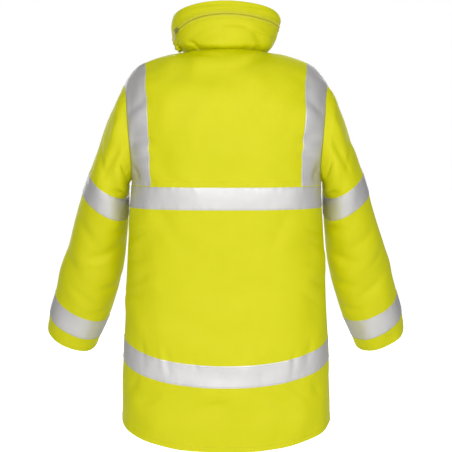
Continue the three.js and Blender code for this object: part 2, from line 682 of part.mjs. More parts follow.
// Solids for cutting and joining
function toSolid(geometry) {
  const bare = geometry.clone();
  bare.deleteAttribute('normal');
  bare.deleteAttribute('uv');
  const merged = mergeVertices(bare, 1e-4);
  return new wasm.Manifold(new wasm.Mesh({
    numProp: 3,
    vertProperties: new Float32Array(merged.attributes.position.array),
    triVerts: new Uint32Array(merged.index.array),
  }));
}

function toGeometry(solid) {
  const { vertProperties, triVerts } = solid.getMesh();
  const geometry = new THREE.BufferGeometry();
  geometry.setAttribute('position', new THREE.Float32BufferAttribute(vertProperties, 3));
  geometry.setIndex([...triVerts]);
  geometry.computeVertexNormals();
  return geometry;
}

// A block from its size and middle
function block(width, depth, height, x, y, z) {
  const geometry = new THREE.BoxGeometry(width, depth, height);
  geometry.translate(x, y, z);
  return geometry;
}

// A slider in its own frame: it faces -Y, and its pull's axis runs along X through the origin
function sliderGeometry() {
  const bodyOutline = new THREE.Shape();
  const half = SLIDER_WIDTH / 2;
  bodyOutline.moveTo(-half * 0.7, -SLIDER_HEIGHT * 0.6);
  bodyOutline.lineTo(half * 0.7, -SLIDER_HEIGHT * 0.6);
  bodyOutline.lineTo(half, SLIDER_HEIGHT * 0.1);
  bodyOutline.quadraticCurveTo(half, SLIDER_HEIGHT * 0.4, 0, SLIDER_HEIGHT * 0.4);
  bodyOutline.quadraticCurveTo(-half, SLIDER_HEIGHT * 0.4, -half, SLIDER_HEIGHT * 0.1);
  const body = new THREE.ExtrudeGeometry(bodyOutline, {
    depth: SLIDER_WALL, bevelEnabled: false, curveSegments: 4,
  });
  body.rotateX(Math.PI / 2);
  body.translate(0, PULL_AXIS_REACH + SLIDER_WALL, 0);
  let solid = toSolid(body);
  const lugX = PULL_TONGUE / 2 + TAPE_LIFT + LUG_WIDTH / 2;
  for (const side of [-1, 1]) {
    const lug = block(LUG_WIDTH, LUG_REACH, LUG_HEIGHT, side * lugX, PULL_AXIS_REACH - LUG_REACH / 2 + 1, 0);
    solid = solid.add(toSolid(lug));
  }
  return toGeometry(solid);
}

// A pull tab that hangs from its axis, at the origin, along -Z
function pullGeometry() {
  const tongue = PULL_TONGUE / 2;
  const plate = PULL_PLATE / 2;
  const shoulder = -LUG_HEIGHT * 0.8;
  const outline = new THREE.Shape();
  outline.moveTo(tongue, 0);
  outline.lineTo(tongue, shoulder);
  outline.lineTo(plate, shoulder - 2);
  outline.lineTo(plate, -PULL_LENGTH + plate);
  outline.absarc(0, -PULL_LENGTH + plate, plate, 0, -Math.PI, true);
  outline.lineTo(-plate, shoulder - 2);
  outline.lineTo(-tongue, shoulder);
  outline.lineTo(-tongue, 0);
  outline.absarc(0, 0, tongue * 0.8, Math.PI, 0, true);
  const geometry = new THREE.ExtrudeGeometry(outline, {
    depth: PULL_WALL, bevelEnabled: false, curveSegments: 6,
  });
  geometry.rotateX(Math.PI / 2);
  geometry.translate(0, PULL_WALL / 2, 0);
  return geometry;
}

// Puts a slider and its pull on a spot of a skin, facing straight out
function addSlider(name, spot, lift) {
  const outward = spot.normal.clone().setZ(0).normalize();
  const reach = lift + SEAM_GAP + SLIDER_WALL + PULL_AXIS_REACH;
  const place = spot.point.clone().addScaledVector(outward, reach);
  const turn = Math.atan2(outward.x, -outward.y);
  const slider = addMesh(`${name}_slider`, sliderGeometry(), materials.metal);
  const pull = addMesh(`${name}_pull`, pullGeometry(), materials.metal);
  for (const piece of [slider, pull]) {
    piece.position.copy(place);
    piece.rotation.z = turn;
  }
}

function buildSliders() {
  addSlider('hood_zip', collar[collarRow('zip middle')][collarSide + 1], STRIP_TOP + 2 * SEAM_GAP);
  const edge = collar[collarRow('zip high')][0];
  const spot = { point: new THREE.Vector3(0, edge.point.y, FRONT_SLIDER_Z), normal: new THREE.Vector3(0, -1, 0) };
  addSlider('front_zip', spot, 2 * SEAM_GAP);
}

buildPanels();
buildBodyTapes();
buildSleeves();
buildCollar();
buildFrontZip();
buildSliders();

export default jacket;
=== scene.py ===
"""The looks of a long hi-vis work jacket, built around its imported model.

The script works in millimetres, +Z up, with the origin in the middle of the neck, and scales each
mesh to metres as it is made. The front faces -Y, the back +Y, and the wearer's left is +X.
"""

from __future__ import annotations

import json
import logging
import math
from dataclasses import dataclass, field
from enum import Enum
from typing import Callable, NamedTuple, Sequence

import bmesh
import bpy
import numpy as np
from mathutils import Matrix, Vector

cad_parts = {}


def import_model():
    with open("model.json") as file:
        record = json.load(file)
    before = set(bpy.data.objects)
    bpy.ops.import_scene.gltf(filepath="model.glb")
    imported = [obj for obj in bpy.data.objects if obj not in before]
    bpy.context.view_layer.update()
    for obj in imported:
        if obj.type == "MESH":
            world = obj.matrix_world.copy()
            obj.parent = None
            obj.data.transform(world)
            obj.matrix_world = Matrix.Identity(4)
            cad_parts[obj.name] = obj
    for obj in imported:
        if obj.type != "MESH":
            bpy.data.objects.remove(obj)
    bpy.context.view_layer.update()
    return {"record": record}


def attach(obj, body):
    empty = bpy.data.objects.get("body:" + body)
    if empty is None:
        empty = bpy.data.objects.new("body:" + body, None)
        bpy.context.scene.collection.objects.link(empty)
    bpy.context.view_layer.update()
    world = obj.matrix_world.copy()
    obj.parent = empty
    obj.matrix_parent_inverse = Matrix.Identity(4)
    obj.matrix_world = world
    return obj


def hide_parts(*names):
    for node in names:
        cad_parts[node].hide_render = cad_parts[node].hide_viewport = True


LOG = logging.getLogger("jacket")
MM = 0.001
CLOTH = 1.8
SEAM_GAP = 0.4
HALF_GAP = SEAM_GAP / 2
ARMHOLE_GAP = 0.45
TAPE_LIFT = 0.3
TAPE_WALL = 0.9

Grid = np.ndarray


class Part(Enum):
    """The panels of the body that face one way."""

    BACK = 1
    FRONT = -1


class Side(Enum):
    """The wearer's two sides, as the sign of X."""

    LEFT = 1
    RIGHT = -1

    @property
    def word(self) -> str:
        """The side's name in lower case."""
        return self.name.lower()


class BodySection(NamedTuple):
    """One level of the body: its half width and its depth to the back and the front."""

    z: float
    half: float
    back: float
    front: float


class PanelRow(NamedTuple):
    """A row of the panels: its height at the side seam, the centre back and the centre front."""

    row: float
    side: float
    back: float
    front: float


class PanelColumn(NamedTuple):
    """A column of the panels, as a share of the half width below and above the underarm."""

    column: float
    low: float
    high: float


class EdgePlace(NamedTuple):
    """A place on the armhole or shoulder seam."""

    z: float
    x: float


class SleeveSection(NamedTuple):
    """A ring of the sleeve: its outer and inner ends, its middle, and how low its back hangs."""

    ring: float
    out_x: float
    out_z: float
    in_x: float
    in_z: float
    mid_y: float
    half_depth: float
    back_drop: float


class CollarSection(NamedTuple):
    """A ring of the collar: its half width, its depths, and its height at four places."""

    ring: float
    half: float
    back: float
    front: float
    z_back: float
    z_left: float
    z_right: float
    z_front: float


class Crease(NamedTuple):
    """A trough, or with a positive depth a ridge, on a panel laid out flat."""

    across: float
    up: float
    angle: float
    length: float
    width: float
    depth: float


BODY_SECTIONS = (
    BodySection(-910, 246, 158, 150),
    BodySection(-845, 247, 157, 150),
    BodySection(-700, 242, 152, 147),
    BodySection(-580, 236, 148, 144),
    BodySection(-480, 232, 147, 143),
    BodySection(-400, 227, 149, 145),
    BodySection(-330, 222, 152, 147),
    BodySection(-290, 219, 153, 147),
    BodySection(-200, 219, 153, 144),
    BodySection(-100, 219, 147, 138),
    BodySection(0, 219, 140, 132),
)

HEM_ROW = 0
HEM_TAPE_ROWS = (4, 6)
CHEST_TAPE_ROWS = (13, 15)
UNDERARM_ROW = 16
TOP_ROW = 24
LOW_ROWS = (
    PanelRow(0, -862, -907, -874),
    PanelRow(1, -848, -893, -860),
    PanelRow(2, -800, -846, -812),
    PanelRow(3, -754, -801, -765),
    PanelRow(4, -710, -760, -720),
    PanelRow(5, -685, -735, -695),
    PanelRow(6, -660, -710, -670),
    PanelRow(7, -616, -656, -624),
    PanelRow(8, -568, -598, -574),
    PanelRow(9, -518, -538, -522),
    PanelRow(10, -468, -480, -470),
    PanelRow(11, -424, -430, -425),
    PanelRow(12, -388, -391, -388),
    PanelRow(13, -359, -359, -359),
    PanelRow(14, -334, -334, -334),
    PanelRow(15, -309, -309, -309),
    PanelRow(16, -296, -296, -296),
)

NECK_HALF = 88
SHOULDER_TIP_X = 236
SHOULDER_TIP_Z = -76
UNDERARM_Z = -296
NECK_COLUMN = 4
BRACE_COLUMN = 8
SIDE_COLUMN = 13
COLUMNS = (
    PanelColumn(0, 0, 0),
    PanelColumn(1, 0.1, 0.1),
    PanelColumn(2, 0.195, 0.195),
    PanelColumn(3, 0.285, 0.29),
    PanelColumn(4, 0.373, NECK_HALF / SHOULDER_TIP_X),
    PanelColumn(5, 0.47, 0.46),
    PanelColumn(6, 0.57, 0.56),
    PanelColumn(7, 0.67, 0.675),
    PanelColumn(8, 0.768, 0.79),
    PanelColumn(9, 0.855, 0.84),
    PanelColumn(10, 0.925, 0.885),
    PanelColumn(11, 0.972, 0.93),
    PanelColumn(12, 0.994, 0.965),
    PanelColumn(13, 1, 1),
)

ARMHOLE_EDGE = (
    EdgePlace(-296, 219),
    EdgePlace(-260, 217),
    EdgePlace(-210, 220),
    EdgePlace(-150, 225),
    EdgePlace(-112, 228),
    EdgePlace(-90, 232),
    EdgePlace(-76, 236),
)

SHOULDER_LINE = (
    EdgePlace(-2, 88),
    EdgePlace(-8, 130),
    EdgePlace(-20, 171),
    EdgePlace(-34, 201),
    EdgePlace(-48, 216),
    EdgePlace(-61, 226),
    EdgePlace(-76, 236),
)

SLEEVE_SECTIONS = (
    SleeveSection(0, 253, -106, 227, -306, -2, 84, 3),
    SleeveSection(1, 275, -158, 230, -313, -8, 89, 8),
    SleeveSection(2, 299, -217, 232, -322, -18, 91, 14),
    SleeveSection(3, 322, -277, 234, -336, -30, 89, 19),
    SleeveSection(4, 340, -325, 236, -386, -46, 85, 22),
    SleeveSection(5, 364, -395, 240, -444, -67, 81, 24),
    SleeveSection(6, 389, -464, 251, -516, -90, 77, 25),
    SleeveSection(7, 410, -528, 270, -581, -112, 74, 26),
    SleeveSection(8, 425, -582, 290, -638, -130, 71, 26),
    SleeveSection(9, 440, -630, 312, -685, -146, 69, 27),
    SleeveSection(10, 449, -672, 326, -716, -158, 66, 25),
)
SLEEVE_END = 10
UPPER_TAPE_RINGS = (3, 4)
CUFF_TAPE_RINGS = (8, 9)

COLLAR_SECTIONS = (
    CollarSection(1, 107, 93, 106, 10, 9, 9, -50),
    CollarSection(2, 115, 98, 110, 32, 9, 24, -34),
    CollarSection(3, 119, 98, 113, 54, 13, 36, -16),
    CollarSection(4, 121, 95, 115, 71, 15, 44, -4),
    CollarSection(5, 122, 93, 116, 77, 21, 50, 2),
    CollarSection(6, 123, 91, 116, 83, 27, 56, 8),
    CollarSection(7, 127, 86, 117, 97, 54, 69, 24),
    CollarSection(8, 123, 78, 116, 109, 77, 80, 37),
)
COLLAR_TOP = 8
ZIP_RING = 5
ZIP_RINGS = (4, 6)

BODY_ROUNDNESS = 2.6
SLEEVE_ROUNDNESS = 2.15
SHOULDER_ROUND = 130
ARMHOLE_HALF_DEPTH = 80
NECK_Z = -2
NECK_DEPTH = {Part.BACK: 78, Part.FRONT: 98}
NECK_RISE = {Part.BACK: 2, Part.FRONT: -60}
HEM_CURVE = 0.6
ZIP_HALF = 8
ARMHOLE_STEPS = 8
COLLAR_TILT = {Part.BACK: 1.1, Part.FRONT: 2.0}
STAND_WALL = (6, 15)
RIM_WALL = 5

# The largest folds of the body, by height and distance from the middle
BODY_FOLDS = {
    Part.BACK: (
        Crease(14, -26, -4, 150, 16, 5),
        Crease(20, -62, 4, 190, 24, -4),
        Crease(-60, -64, 24, 110, 22, 4),
        Crease(196, -112, -32, 90, 20, -4),
        Crease(-196, -112, 32, 90, 20, -4),
        Crease(150, -236, 56, 150, 26, -4),
        Crease(-152, -228, -58, 140, 26, -4),
        Crease(196, -440, -24, 130, 24, -5),
        Crease(204, -560, -18, 110, 26, -4),
        Crease(-198, -450, 22, 130, 24, -5),
        Crease(-206, -590, 30, 110, 26, -4),
        Crease(-40, -660, 84, 130, 26, -3),
        Crease(40, -812, -8, 150, 26, -4),
        Crease(-130, -815, 34, 120, 26, -4),
    ),
    Part.FRONT: (
        Crease(150, -236, 58, 140, 26, -5),
        Crease(-148, -230, -60, 140, 26, -5),
        Crease(186, -470, -22, 140, 26, -5),
        Crease(-190, -500, 26, 130, 26, -5),
        Crease(130, -800, 28, 120, 26, -4),
        Crease(-140, -790, -20, 120, 26, -4),
    ),
}


class SleeveFold(NamedTuple):
    """A large fold across a sleeve: its ring, the turn round it, its slant and its size."""

    ring: float
    turn: float
    slant: float
    length: float
    width: float
    depth: float


SLEEVE_FOLDS = (
    SleeveFold(1.2, 30, 0.9, 62, 0.6, -6),
    SleeveFold(2.4, -20, -0.5, 70, 0.6, -5),
    SleeveFold(5.2, -40, 0.6, 70, 0.5, -6),
    SleeveFold(6.4, 40, -0.5, 66, 0.5, -5),
    SleeveFold(5.7, 150, 0.4, 80, 0.5, -7),
    SleeveFold(6.9, 190, -0.4, 70, 0.5, -6),
)


def reading(table: Sequence[NamedTuple], key: str, name: str, at: Grid) -> Grid:
    """Reads one column of a table at places between its rows, on a smooth curve.

    Args:
        table: Rows in rising or falling order of the key.
        key: The column that gives each row's place.
        name: The column to read.
        at: Where to read it.

    Returns:
        The values there.
    """
    rows = sorted(table, key=lambda row: getattr(row, key))
    places = np.array([getattr(row, key) for row in rows], float)
    values = np.array([getattr(row, name) for row in rows], float)
    at = np.clip(np.asarray(at, float), places[0], places[-1])
    low = np.clip(np.searchsorted(places, at, side="left") - 1, 0, len(rows) - 2)
    before = np.maximum(low - 1, 0)
    after = np.minimum(low + 2, len(rows) - 1)
    span = places[low + 1] - places[low]
    start = (values[low + 1] - values[before]) / (places[low + 1] - places[before]) * span
    end = (values[after] - values[low]) / (places[after] - places[low]) * span
    part = (at - places[low]) / span
    squared = part * part
    cubed = squared * part
    return (
        (2 * cubed - 3 * squared + 1) * values[low]
        + (cubed - 2 * squared + part) * start
        + (3 * squared - 2 * cubed) * values[low + 1]
        + (cubed - squared) * end
    )


def signed_power(value: Grid, power: float) -> Grid:
    """A power that keeps the sign of its base."""
    return np.sign(value) * np.abs(value) ** power


def fold_share(across: Grid, along: Grid, width: float, length: float) -> Grid:
    """How much of a fold's depth a place has, from 0 to 1, from its distance to the fold's line."""
    end = np.minimum(np.abs(along) / (length / 2), 1)
    return np.exp(-((across / width) ** 2)) * (1 - end * end) ** 2


def creased(creases: Sequence[Crease], across: Grid, up: Grid) -> Grid:
    """The height that a list of creases adds at places on a laid-out panel."""
    lift = np.zeros(np.broadcast(across, up).shape)
    for crease in creases:
        turn = math.radians(crease.angle)
        dx = across - crease.across
        dz = up - crease.up
        along = dx * math.cos(turn) + dz * math.sin(turn)
        over = dz * math.cos(turn) - dx * math.sin(turn)
        lift += crease.depth * fold_share(over, along, crease.width, crease.length)
    return lift


def normals_of(points: Grid, closed: bool = False) -> Grid:
    """The unit directions square to a grid of points, one for each point.

    Args:
        points: Rows and columns of points.
        closed: Whether the last column joins the first.

    Returns:
        Directions, as the turn from a row's run to a column's gives them.
    """
    if closed:
        wide = np.concatenate([points[:, -1:], points, points[:, :1]], axis=1)
        across = wide[:, 2:] - wide[:, :-2]
    else:
        across = np.gradient(points, axis=1)
    up = np.gradient(points, axis=0)
    normal = np.cross(across, up)
    return normal / np.maximum(np.linalg.norm(normal, axis=2, keepdims=True), 1e-9)


@dataclass
class Skin:
    """A grid of points on the outside of the cloth, with the way out at each.

    Attributes:
        points: Rows and columns of points, in millimetres.
        normals: The unit directions outward.
        closed: Whether the columns go all round.
    """

    points: Grid
    normals: Grid
    closed: bool = False

    def moved(self, distance: Grid | float) -> Grid:
        """The points moved out by a distance, or by one for each point."""
        return self.points + self.normals * np.asarray(distance, float)[..., None]

    def raised(self, lift: Grid) -> "Skin":
        """The skin with its surface lifted, and its directions worked out again."""
        points = self.moved(lift)
        normals = normals_of(points, self.closed)
        flips = np.sum(normals * self.normals, axis=2, keepdims=True) < 0
        return Skin(points, np.where(flips, -normals, normals), self.closed)

    def laid_out(self) -> tuple[Grid, Grid]:
        """Distances along the cloth: across from the middle column, and up from the first row."""
        across = np.linalg.norm(np.diff(self.points, axis=1), axis=2)
        across = np.concatenate([np.zeros((len(across), 1)), np.cumsum(across, axis=1)], axis=1)
        up = np.linalg.norm(np.diff(self.points, axis=0), axis=2)
        up = np.concatenate([np.zeros((1, up.shape[1])), np.cumsum(up, axis=0)], axis=0)
        return across, up


class BodyShape:
    """The body's surface from its driving sizes, at any row and column."""

    def depth(self, part: Part, z: Grid) -> Grid:
        """The body's depth to one face at a height."""
        return reading(BODY_SECTIONS, "z", part.name.lower(), z)

    def top_line(self, part: Part, x: Grid) -> tuple[Grid, Grid]:
        """The neck and shoulder seam's y and z at a distance from the middle."""
        reach = np.abs(x)
        inside = np.minimum(reach / NECK_HALF, 1)
        rounded = np.sqrt(1 - inside**2)
        shoulder = reading(SHOULDER_LINE, "x", "z", np.maximum(reach, NECK_HALF))
        neck = NECK_Z + NECK_RISE[part] * rounded**2
        z = np.where(reach >= NECK_HALF, shoulder, neck)
        return part.value * (HALF_GAP + NECK_DEPTH[part] * rounded), z

    def top_rounding(self, drop: Grid, x: Grid) -> Grid:
        """The share of its full depth that a panel has at some drop below the top line."""
        near = 1 - np.clip(drop / SHOULDER_ROUND, 0, 1)
        stiffness = 1.2 + 0.8 * np.minimum(np.abs(x) / NECK_HALF, 1) ** 2
        return (1 - near * near) ** (1 / stiffness)

    def low_points(self, part: Part, row: Grid, share: Grid, shift: Grid) -> Grid:
        """Points below the underarm."""
        centre = reading(LOW_ROWS, "row", part.name.lower(), row)
        side = reading(LOW_ROWS, "row", "side", row)
        z = side + (centre - side) * (1 - share * share) ** HEM_CURVE
        half = reading(BODY_SECTIONS, "z", "half", z)
        x = share * half + shift
        inside = np.minimum(np.abs(x) / half, 1)
        rounded = (1 - inside**BODY_ROUNDNESS) ** (1 / BODY_ROUNDNESS)
        lift = creased(BODY_FOLDS[part], x, z) * np.minimum(1, 6 * (1 - np.abs(share)))
        sideways = inside**6
        y = HALF_GAP + self.depth(part, z) * rounded + lift * np.sqrt(1 - sideways**2)
        return np.stack([x + np.sign(x) * lift * sideways, part.value * y, z], axis=-1)

    def high_points(self, part: Part, height: Grid, share: Grid, shift: Grid) -> Grid:
        """Points above the underarm, from height 0 there to 1 at the top line."""
        edge_z = UNDERARM_Z + (SHOULDER_TIP_Z - UNDERARM_Z) * height
        edge_x = reading(ARMHOLE_EDGE, "z", "x", edge_z)
        top_x = share * SHOULDER_TIP_X + shift
        top_y, top_z = self.top_line(part, top_x)
        x = share * edge_x + shift
        z = UNDERARM_Z + (top_z - UNDERARM_Z) * height
        full = self.depth(part, z)
        tip_drop = (1 - height) * (SHOULDER_TIP_Z - UNDERARM_Z)
        edge_round = self.top_rounding(tip_drop, np.array(SHOULDER_TIP_X))
        oval = 2 * np.sqrt(np.maximum(height * (1 - height), 0))
        ratio = np.where(height < 1 - 1e-6, oval / np.maximum(edge_round, 1e-6), 1)
        fullness = (1 - (ARMHOLE_HALF_DEPTH * ratio / full) ** BODY_ROUNDNESS) ** (1 / BODY_ROUNDNESS)
        reach = np.minimum(np.abs(x / edge_x) * fullness, 1)
        rounded = full * (1 - reach**BODY_ROUNDNESS) ** (1 / BODY_ROUNDNESS)
        taper = np.minimum(1, 6 * (1 - np.abs(share))) * np.minimum(1, 8 * (1 - height))
        lift = creased(BODY_FOLDS[part], x, z) * taper
        depth_share = self.top_rounding(top_z - z, top_x)
        out = part.value * (HALF_GAP + rounded)
        y = top_y + (out - top_y) * depth_share + part.value * lift
        return np.stack([x, y, z], axis=-1)

    def points(self, part: Part, rows: Grid, columns: Grid, zip_side: int = 0) -> Grid:
        """A grid of points at the given row and column places.

        Args:
            part: The face of the body.
            rows: Row places, from 0 at the hem to 24 at the top line.
            columns: Column places, from -13 at the right side seam to 13 at the left.
            zip_side: The side of a front that ends at the zip, as the sign of X, or 0.

        Returns:
            Rows and columns of points.
        """
        row = rows[:, None]
        turn = np.clip(row - UNDERARM_ROW, 0, ARMHOLE_STEPS) / ARMHOLE_STEPS
        height = (1 - np.cos(np.pi * turn)) / 2
        sign = zip_side or np.where(columns < 0, -1.0, 1.0)[None, :]
        low_share = sign * reading(COLUMNS, "column", "low", np.abs(columns))[None, :]
        high_share = sign * reading(COLUMNS, "column", "high", np.abs(columns))[None, :]
        blend = np.minimum(height / 0.15, 1)
        share = low_share + (high_share - low_share) * blend
        shift = zip_side * ZIP_HALF * np.maximum(1 - np.abs(columns), 0)[None, :]
        low = self.low_points(part, np.minimum(row, UNDERARM_ROW), low_share, shift)
        high = self.high_points(part, height, share, shift)
        return np.where(row[..., None] <= UNDERARM_ROW, low, high)

    def skin(self, part: Part, rows: Grid, columns: Grid, zip_side: int = 0) -> Skin:
        """The panel's skin, with its way out kept in each seam's plane."""
        points = self.points(part, rows, columns, zip_side)
        normals = normals_of(points)
        away = np.stack([points[..., 0] / 230, points[..., 1] / 150, 0 * points[..., 2]], axis=-1)
        away[rows > TOP_ROW - 3, :, 2] = 1
        normals = np.where(np.sum(normals * away, axis=2, keepdims=True) < 0, -normals, normals)
        side = np.abs(columns) > SIDE_COLUMN - 1e-6
        low = rows <= UNDERARM_ROW
        normals[np.ix_(low, side, [1])] = 0
        if zip_side:
            normals[:, np.abs(columns) < 1e-6, 0] = 0
        if rows[-1] > TOP_ROW - 1e-6:
            normals[-1, np.abs(columns) >= NECK_COLUMN, 1] = 0
        normals /= np.linalg.norm(normals, axis=2, keepdims=True)
        return Skin(points, normals)


class SleeveShape:
    """A sleeve's surface, from the armhole seam at ring -1 to the cuff at ring 10."""

    def __init__(self, body: BodyShape) -> None:
        self.body = body

    def seam_loop(self, side: Side, turns: Grid) -> Grid:
        """Points of the armhole seam, by the turn from the underarm up the back and down the front."""
        steps = (turns + 90) / 360 * 4 * ARMHOLE_STEPS
        column = np.array([side.value * SIDE_COLUMN], float)
        back_rows = UNDERARM_ROW + np.clip(steps, 0, 2 * ARMHOLE_STEPS) / 2
        front_rows = TOP_ROW - np.clip(steps - 2 * ARMHOLE_STEPS, 0, 2 * ARMHOLE_STEPS) / 2
        back = self.body.points(Part.BACK, back_rows, column)[:, 0]
        front = self.body.points(Part.FRONT, front_rows, column)[:, 0]
        return np.where((steps <= 2 * ARMHOLE_STEPS)[:, None], back, front)

    def ring_points(self, side: Side, rings: Grid, turns: Grid) -> Grid:
        """Points of the rings from 0 on, with the largest folds."""
        def read(name: str) -> Grid:
            return reading(SLEEVE_SECTIONS, "ring", name, rings)

        nothing = np.zeros(len(rings))
        outer = np.stack([read("out_x"), nothing, read("out_z")], axis=-1)
        inner = np.stack([read("in_x"), nothing, read("in_z")], axis=-1)
        centre = (outer + inner) / 2
        centre[:, 1] = read("mid_y")
        across = (outer - inner) / 2
        depth = np.stack([nothing, read("half_depth"), -read("back_drop")], axis=-1)
        angle = np.radians(turns)
        power = 2 / SLEEVE_ROUNDNESS
        fold = sleeve_creased(SLEEVE_FOLDS, rings[:, None], turns[None, :])
        scale = (1 + fold / read("half_depth")[:, None])[..., None]
        sideways = signed_power(np.sin(angle), power)[None, :, None]
        backward = signed_power(np.cos(angle), power)[None, :, None]
        points = centre[:, None] + scale * (across[:, None] * sideways + depth[:, None] * backward)
        points[..., 0] *= side.value
        return points

    def points(self, side: Side, rings: Grid, turns: Grid) -> Grid:
        """A grid of points at the given ring places and turns."""
        seam = self.seam_loop(side, turns)
        first, second = self.ring_points(side, np.array([0.0, 1.0]), turns)
        reach = first - seam
        length = np.linalg.norm(reach, axis=1, keepdims=True)
        seam = seam + reach / length * ARMHOLE_GAP
        run = second - first
        leaving = reach / 2 + run / np.linalg.norm(run, axis=1, keepdims=True) * length / 2
        part = np.clip(rings + 1, 0, 1)[:, None, None]
        squared = part * part
        cubed = squared * part
        head = (
            (2 * cubed - 3 * squared + 1) * seam
            + (cubed - 2 * squared + part) * reach
            + (3 * squared - 2 * cubed) * first
            + (cubed - squared) * leaving
        )
        below = self.ring_points(side, np.maximum(rings, 0), turns)
        return np.where((rings < 0)[:, None, None], head, below)

    def skin(self, side: Side, rings: Grid, turns: Grid) -> Skin:
        """The sleeve's skin with its way out."""
        points = self.points(side, rings, turns)
        normals = normals_of(points, closed=True)
        away = points - points.mean(axis=1, keepdims=True)
        flips = np.sum(normals * away, axis=2, keepdims=True) < 0
        return Skin(points, np.where(flips, -normals, normals), closed=True)


def sleeve_creased(folds: Sequence[SleeveFold], rings: Grid, turns: Grid) -> Grid:
    """The height that a list of folds adds round a sleeve."""
    lift = np.zeros(np.broadcast(rings, turns).shape)
    for fold in folds:
        around = (turns - fold.turn + 540) % 360 - 180
        across = rings - fold.ring - fold.slant * around / 90
        lift += fold.depth * fold_share(across, around, fold.width, 2 * fold.length)
    return lift


class CollarShape:
    """The collar's surface, from the neck seam at ring 0 to its top edge at ring 8."""

    FIRST_TURN = math.degrees(math.asin(ZIP_HALF / NECK_HALF))

    def __init__(self) -> None:
        seam = CollarSection(
            0, NECK_HALF, NECK_DEPTH[Part.BACK], NECK_DEPTH[Part.FRONT],
            NECK_Z + NECK_RISE[Part.BACK] + SEAM_GAP, NECK_Z + SEAM_GAP, NECK_Z + SEAM_GAP,
            NECK_Z + NECK_RISE[Part.FRONT] + SEAM_GAP,
        )
        self.sections = (seam, *COLLAR_SECTIONS)

    def read(self, name: str, rings: Grid) -> Grid:
        """Reads one size of the collar's rings."""
        return reading(self.sections, "ring", name, rings)[:, None]

    def points(self, rings: Grid, turns: Grid) -> Grid:
        """A grid of points; the turn goes from the left front edge round by the back."""
        angle = np.radians(turns)[None, :]
        base_x = NECK_HALF * np.sin(angle)
        side = np.where(base_x < 0, -1.0, 1.0)
        reach = np.abs(base_x)
        is_front = np.cos(angle) > 0
        half = self.read("half", rings)
        spread = (half - ZIP_HALF) / (NECK_HALF - ZIP_HALF)
        x = np.where(
            is_front,
            side * (ZIP_HALF + (reach - ZIP_HALF) * spread),
            side * reach * half / NECK_HALF,
        )
        share = np.minimum(np.abs(x) / half, 1)
        rounded = np.sqrt(1 - share * share)
        y = np.where(is_front, -self.read("front", rings), self.read("back", rings)) * rounded
        left, right = self.read("z_left", rings), self.read("z_right", rings)
        end = np.where(is_front, self.read("z_front", rings), self.read("z_back", rings))
        middle = (left + right) / 2
        lean = middle + (np.where(side > 0, left, right) - middle) * share
        tilt = np.where(is_front, COLLAR_TILT[Part.FRONT], COLLAR_TILT[Part.BACK])
        z = lean + (end - lean) * rounded**tilt
        return np.stack([x, y, z], axis=-1)

    def skin(self, rings: Grid, turns: Grid) -> Skin:
        """The collar's skin with its way out."""
        points = self.points(rings, turns)
        normals = normals_of(points)
        away = points * np.array([1.0, 1.0, 0.0])
        flips = np.sum(normals * away, axis=2, keepdims=True) < 0
        normals = np.where(flips, -normals, normals)
        normals[:, [0, -1], 0] = 0
        normals /= np.linalg.norm(normals, axis=2, keepdims=True)
        return Skin(points, normals)


def spaced(breaks: Sequence[float], lengths: Sequence[float], step: float) -> Grid:
    """Places along a run of stretches, each cut into equal steps.

    Args:
        breaks: The places between stretches.
        lengths: How long each stretch is, in millimetres.
        step: The longest step, in millimetres.

    Returns:
        The places, with every break among them.
    """
    places: list[float] = []
    for start, end, length in zip(breaks, breaks[1:], lengths):
        count = max(1, math.ceil(length / step))
        places.extend(start + (end - start) * k / count for k in range(count))
    return np.array([*places, breaks[-1]])


def at_row(values: Grid, rows: Grid, place: float) -> Grid:
    """Reads a grid at a row place between its own rows."""
    low = int(np.clip(np.searchsorted(rows, place) - 1, 0, len(rows) - 2))
    share = (place - rows[low]) / (rows[low + 1] - rows[low])
    return values[low] * (1 - share) + values[low + 1] * share


def at_column(values: Grid, columns: Grid, place: float) -> Grid:
    """Reads a grid at a column place between its own columns."""
    return at_row(np.swapaxes(values, 0, 1), columns, place)


def wave(along: Grid, lengths: Sequence[float], seed: int) -> Grid:
    """An uneven wave between about -1 and 1, the same on every run."""
    random = np.random.default_rng(seed)
    total = np.zeros(np.shape(along))
    for length in lengths:
        turn = 2 * np.pi * along / (length * random.uniform(0.9, 1.1))
        total += np.sin(turn + random.uniform(0, 2 * np.pi))
    return total / len(lengths)


def pucker(along: Grid, away: Grid, seed: int, height: float, reach: float) -> Grid:
    """The gathers that a line of stitching draws into cloth, fading with distance from it."""
    drift = along + 0.35 * away * wave(along, (70.0, 43.0), seed + 1)
    return height * wave(drift, (17.0, 26.0, 41.0), seed) * np.exp(-((away / reach) ** 2))


def undulation(across: Grid, up: Grid, seed: int, height: float) -> Grid:
    """A slow unevenness of cloth that hangs free."""
    random = np.random.default_rng(seed)
    total = np.zeros(np.broadcast(across, up).shape)
    for _ in range(9):
        length = random.uniform(70, 190)
        turn = random.uniform(0, np.pi)
        place = (across * math.cos(turn) + up * math.sin(turn)) / length
        bend = 0.6 * np.sin((across * math.sin(turn) - up * math.cos(turn)) / (1.7 * length) * 2 * np.pi)
        total += np.sin(2 * np.pi * place + bend + random.uniform(0, 2 * np.pi))
    return height * total / 3


def rounded_edge(away: Grid, reach: float) -> Grid:
    """From 0 at an edge to 1 at some distance from it, on a quarter circle."""
    share = 1 - np.clip(away / reach, 0, 1)
    return np.sqrt(1 - share * share)


@dataclass
class MeshData:
    """Points and faces of a mesh, in millimetres."""

    points: Grid
    faces: Grid

    def joined(self, other: "MeshData") -> "MeshData":
        """This mesh and another as one."""
        faces = np.concatenate([self.faces, other.faces + len(self.points)])
        return MeshData(np.concatenate([self.points, other.points]), faces)


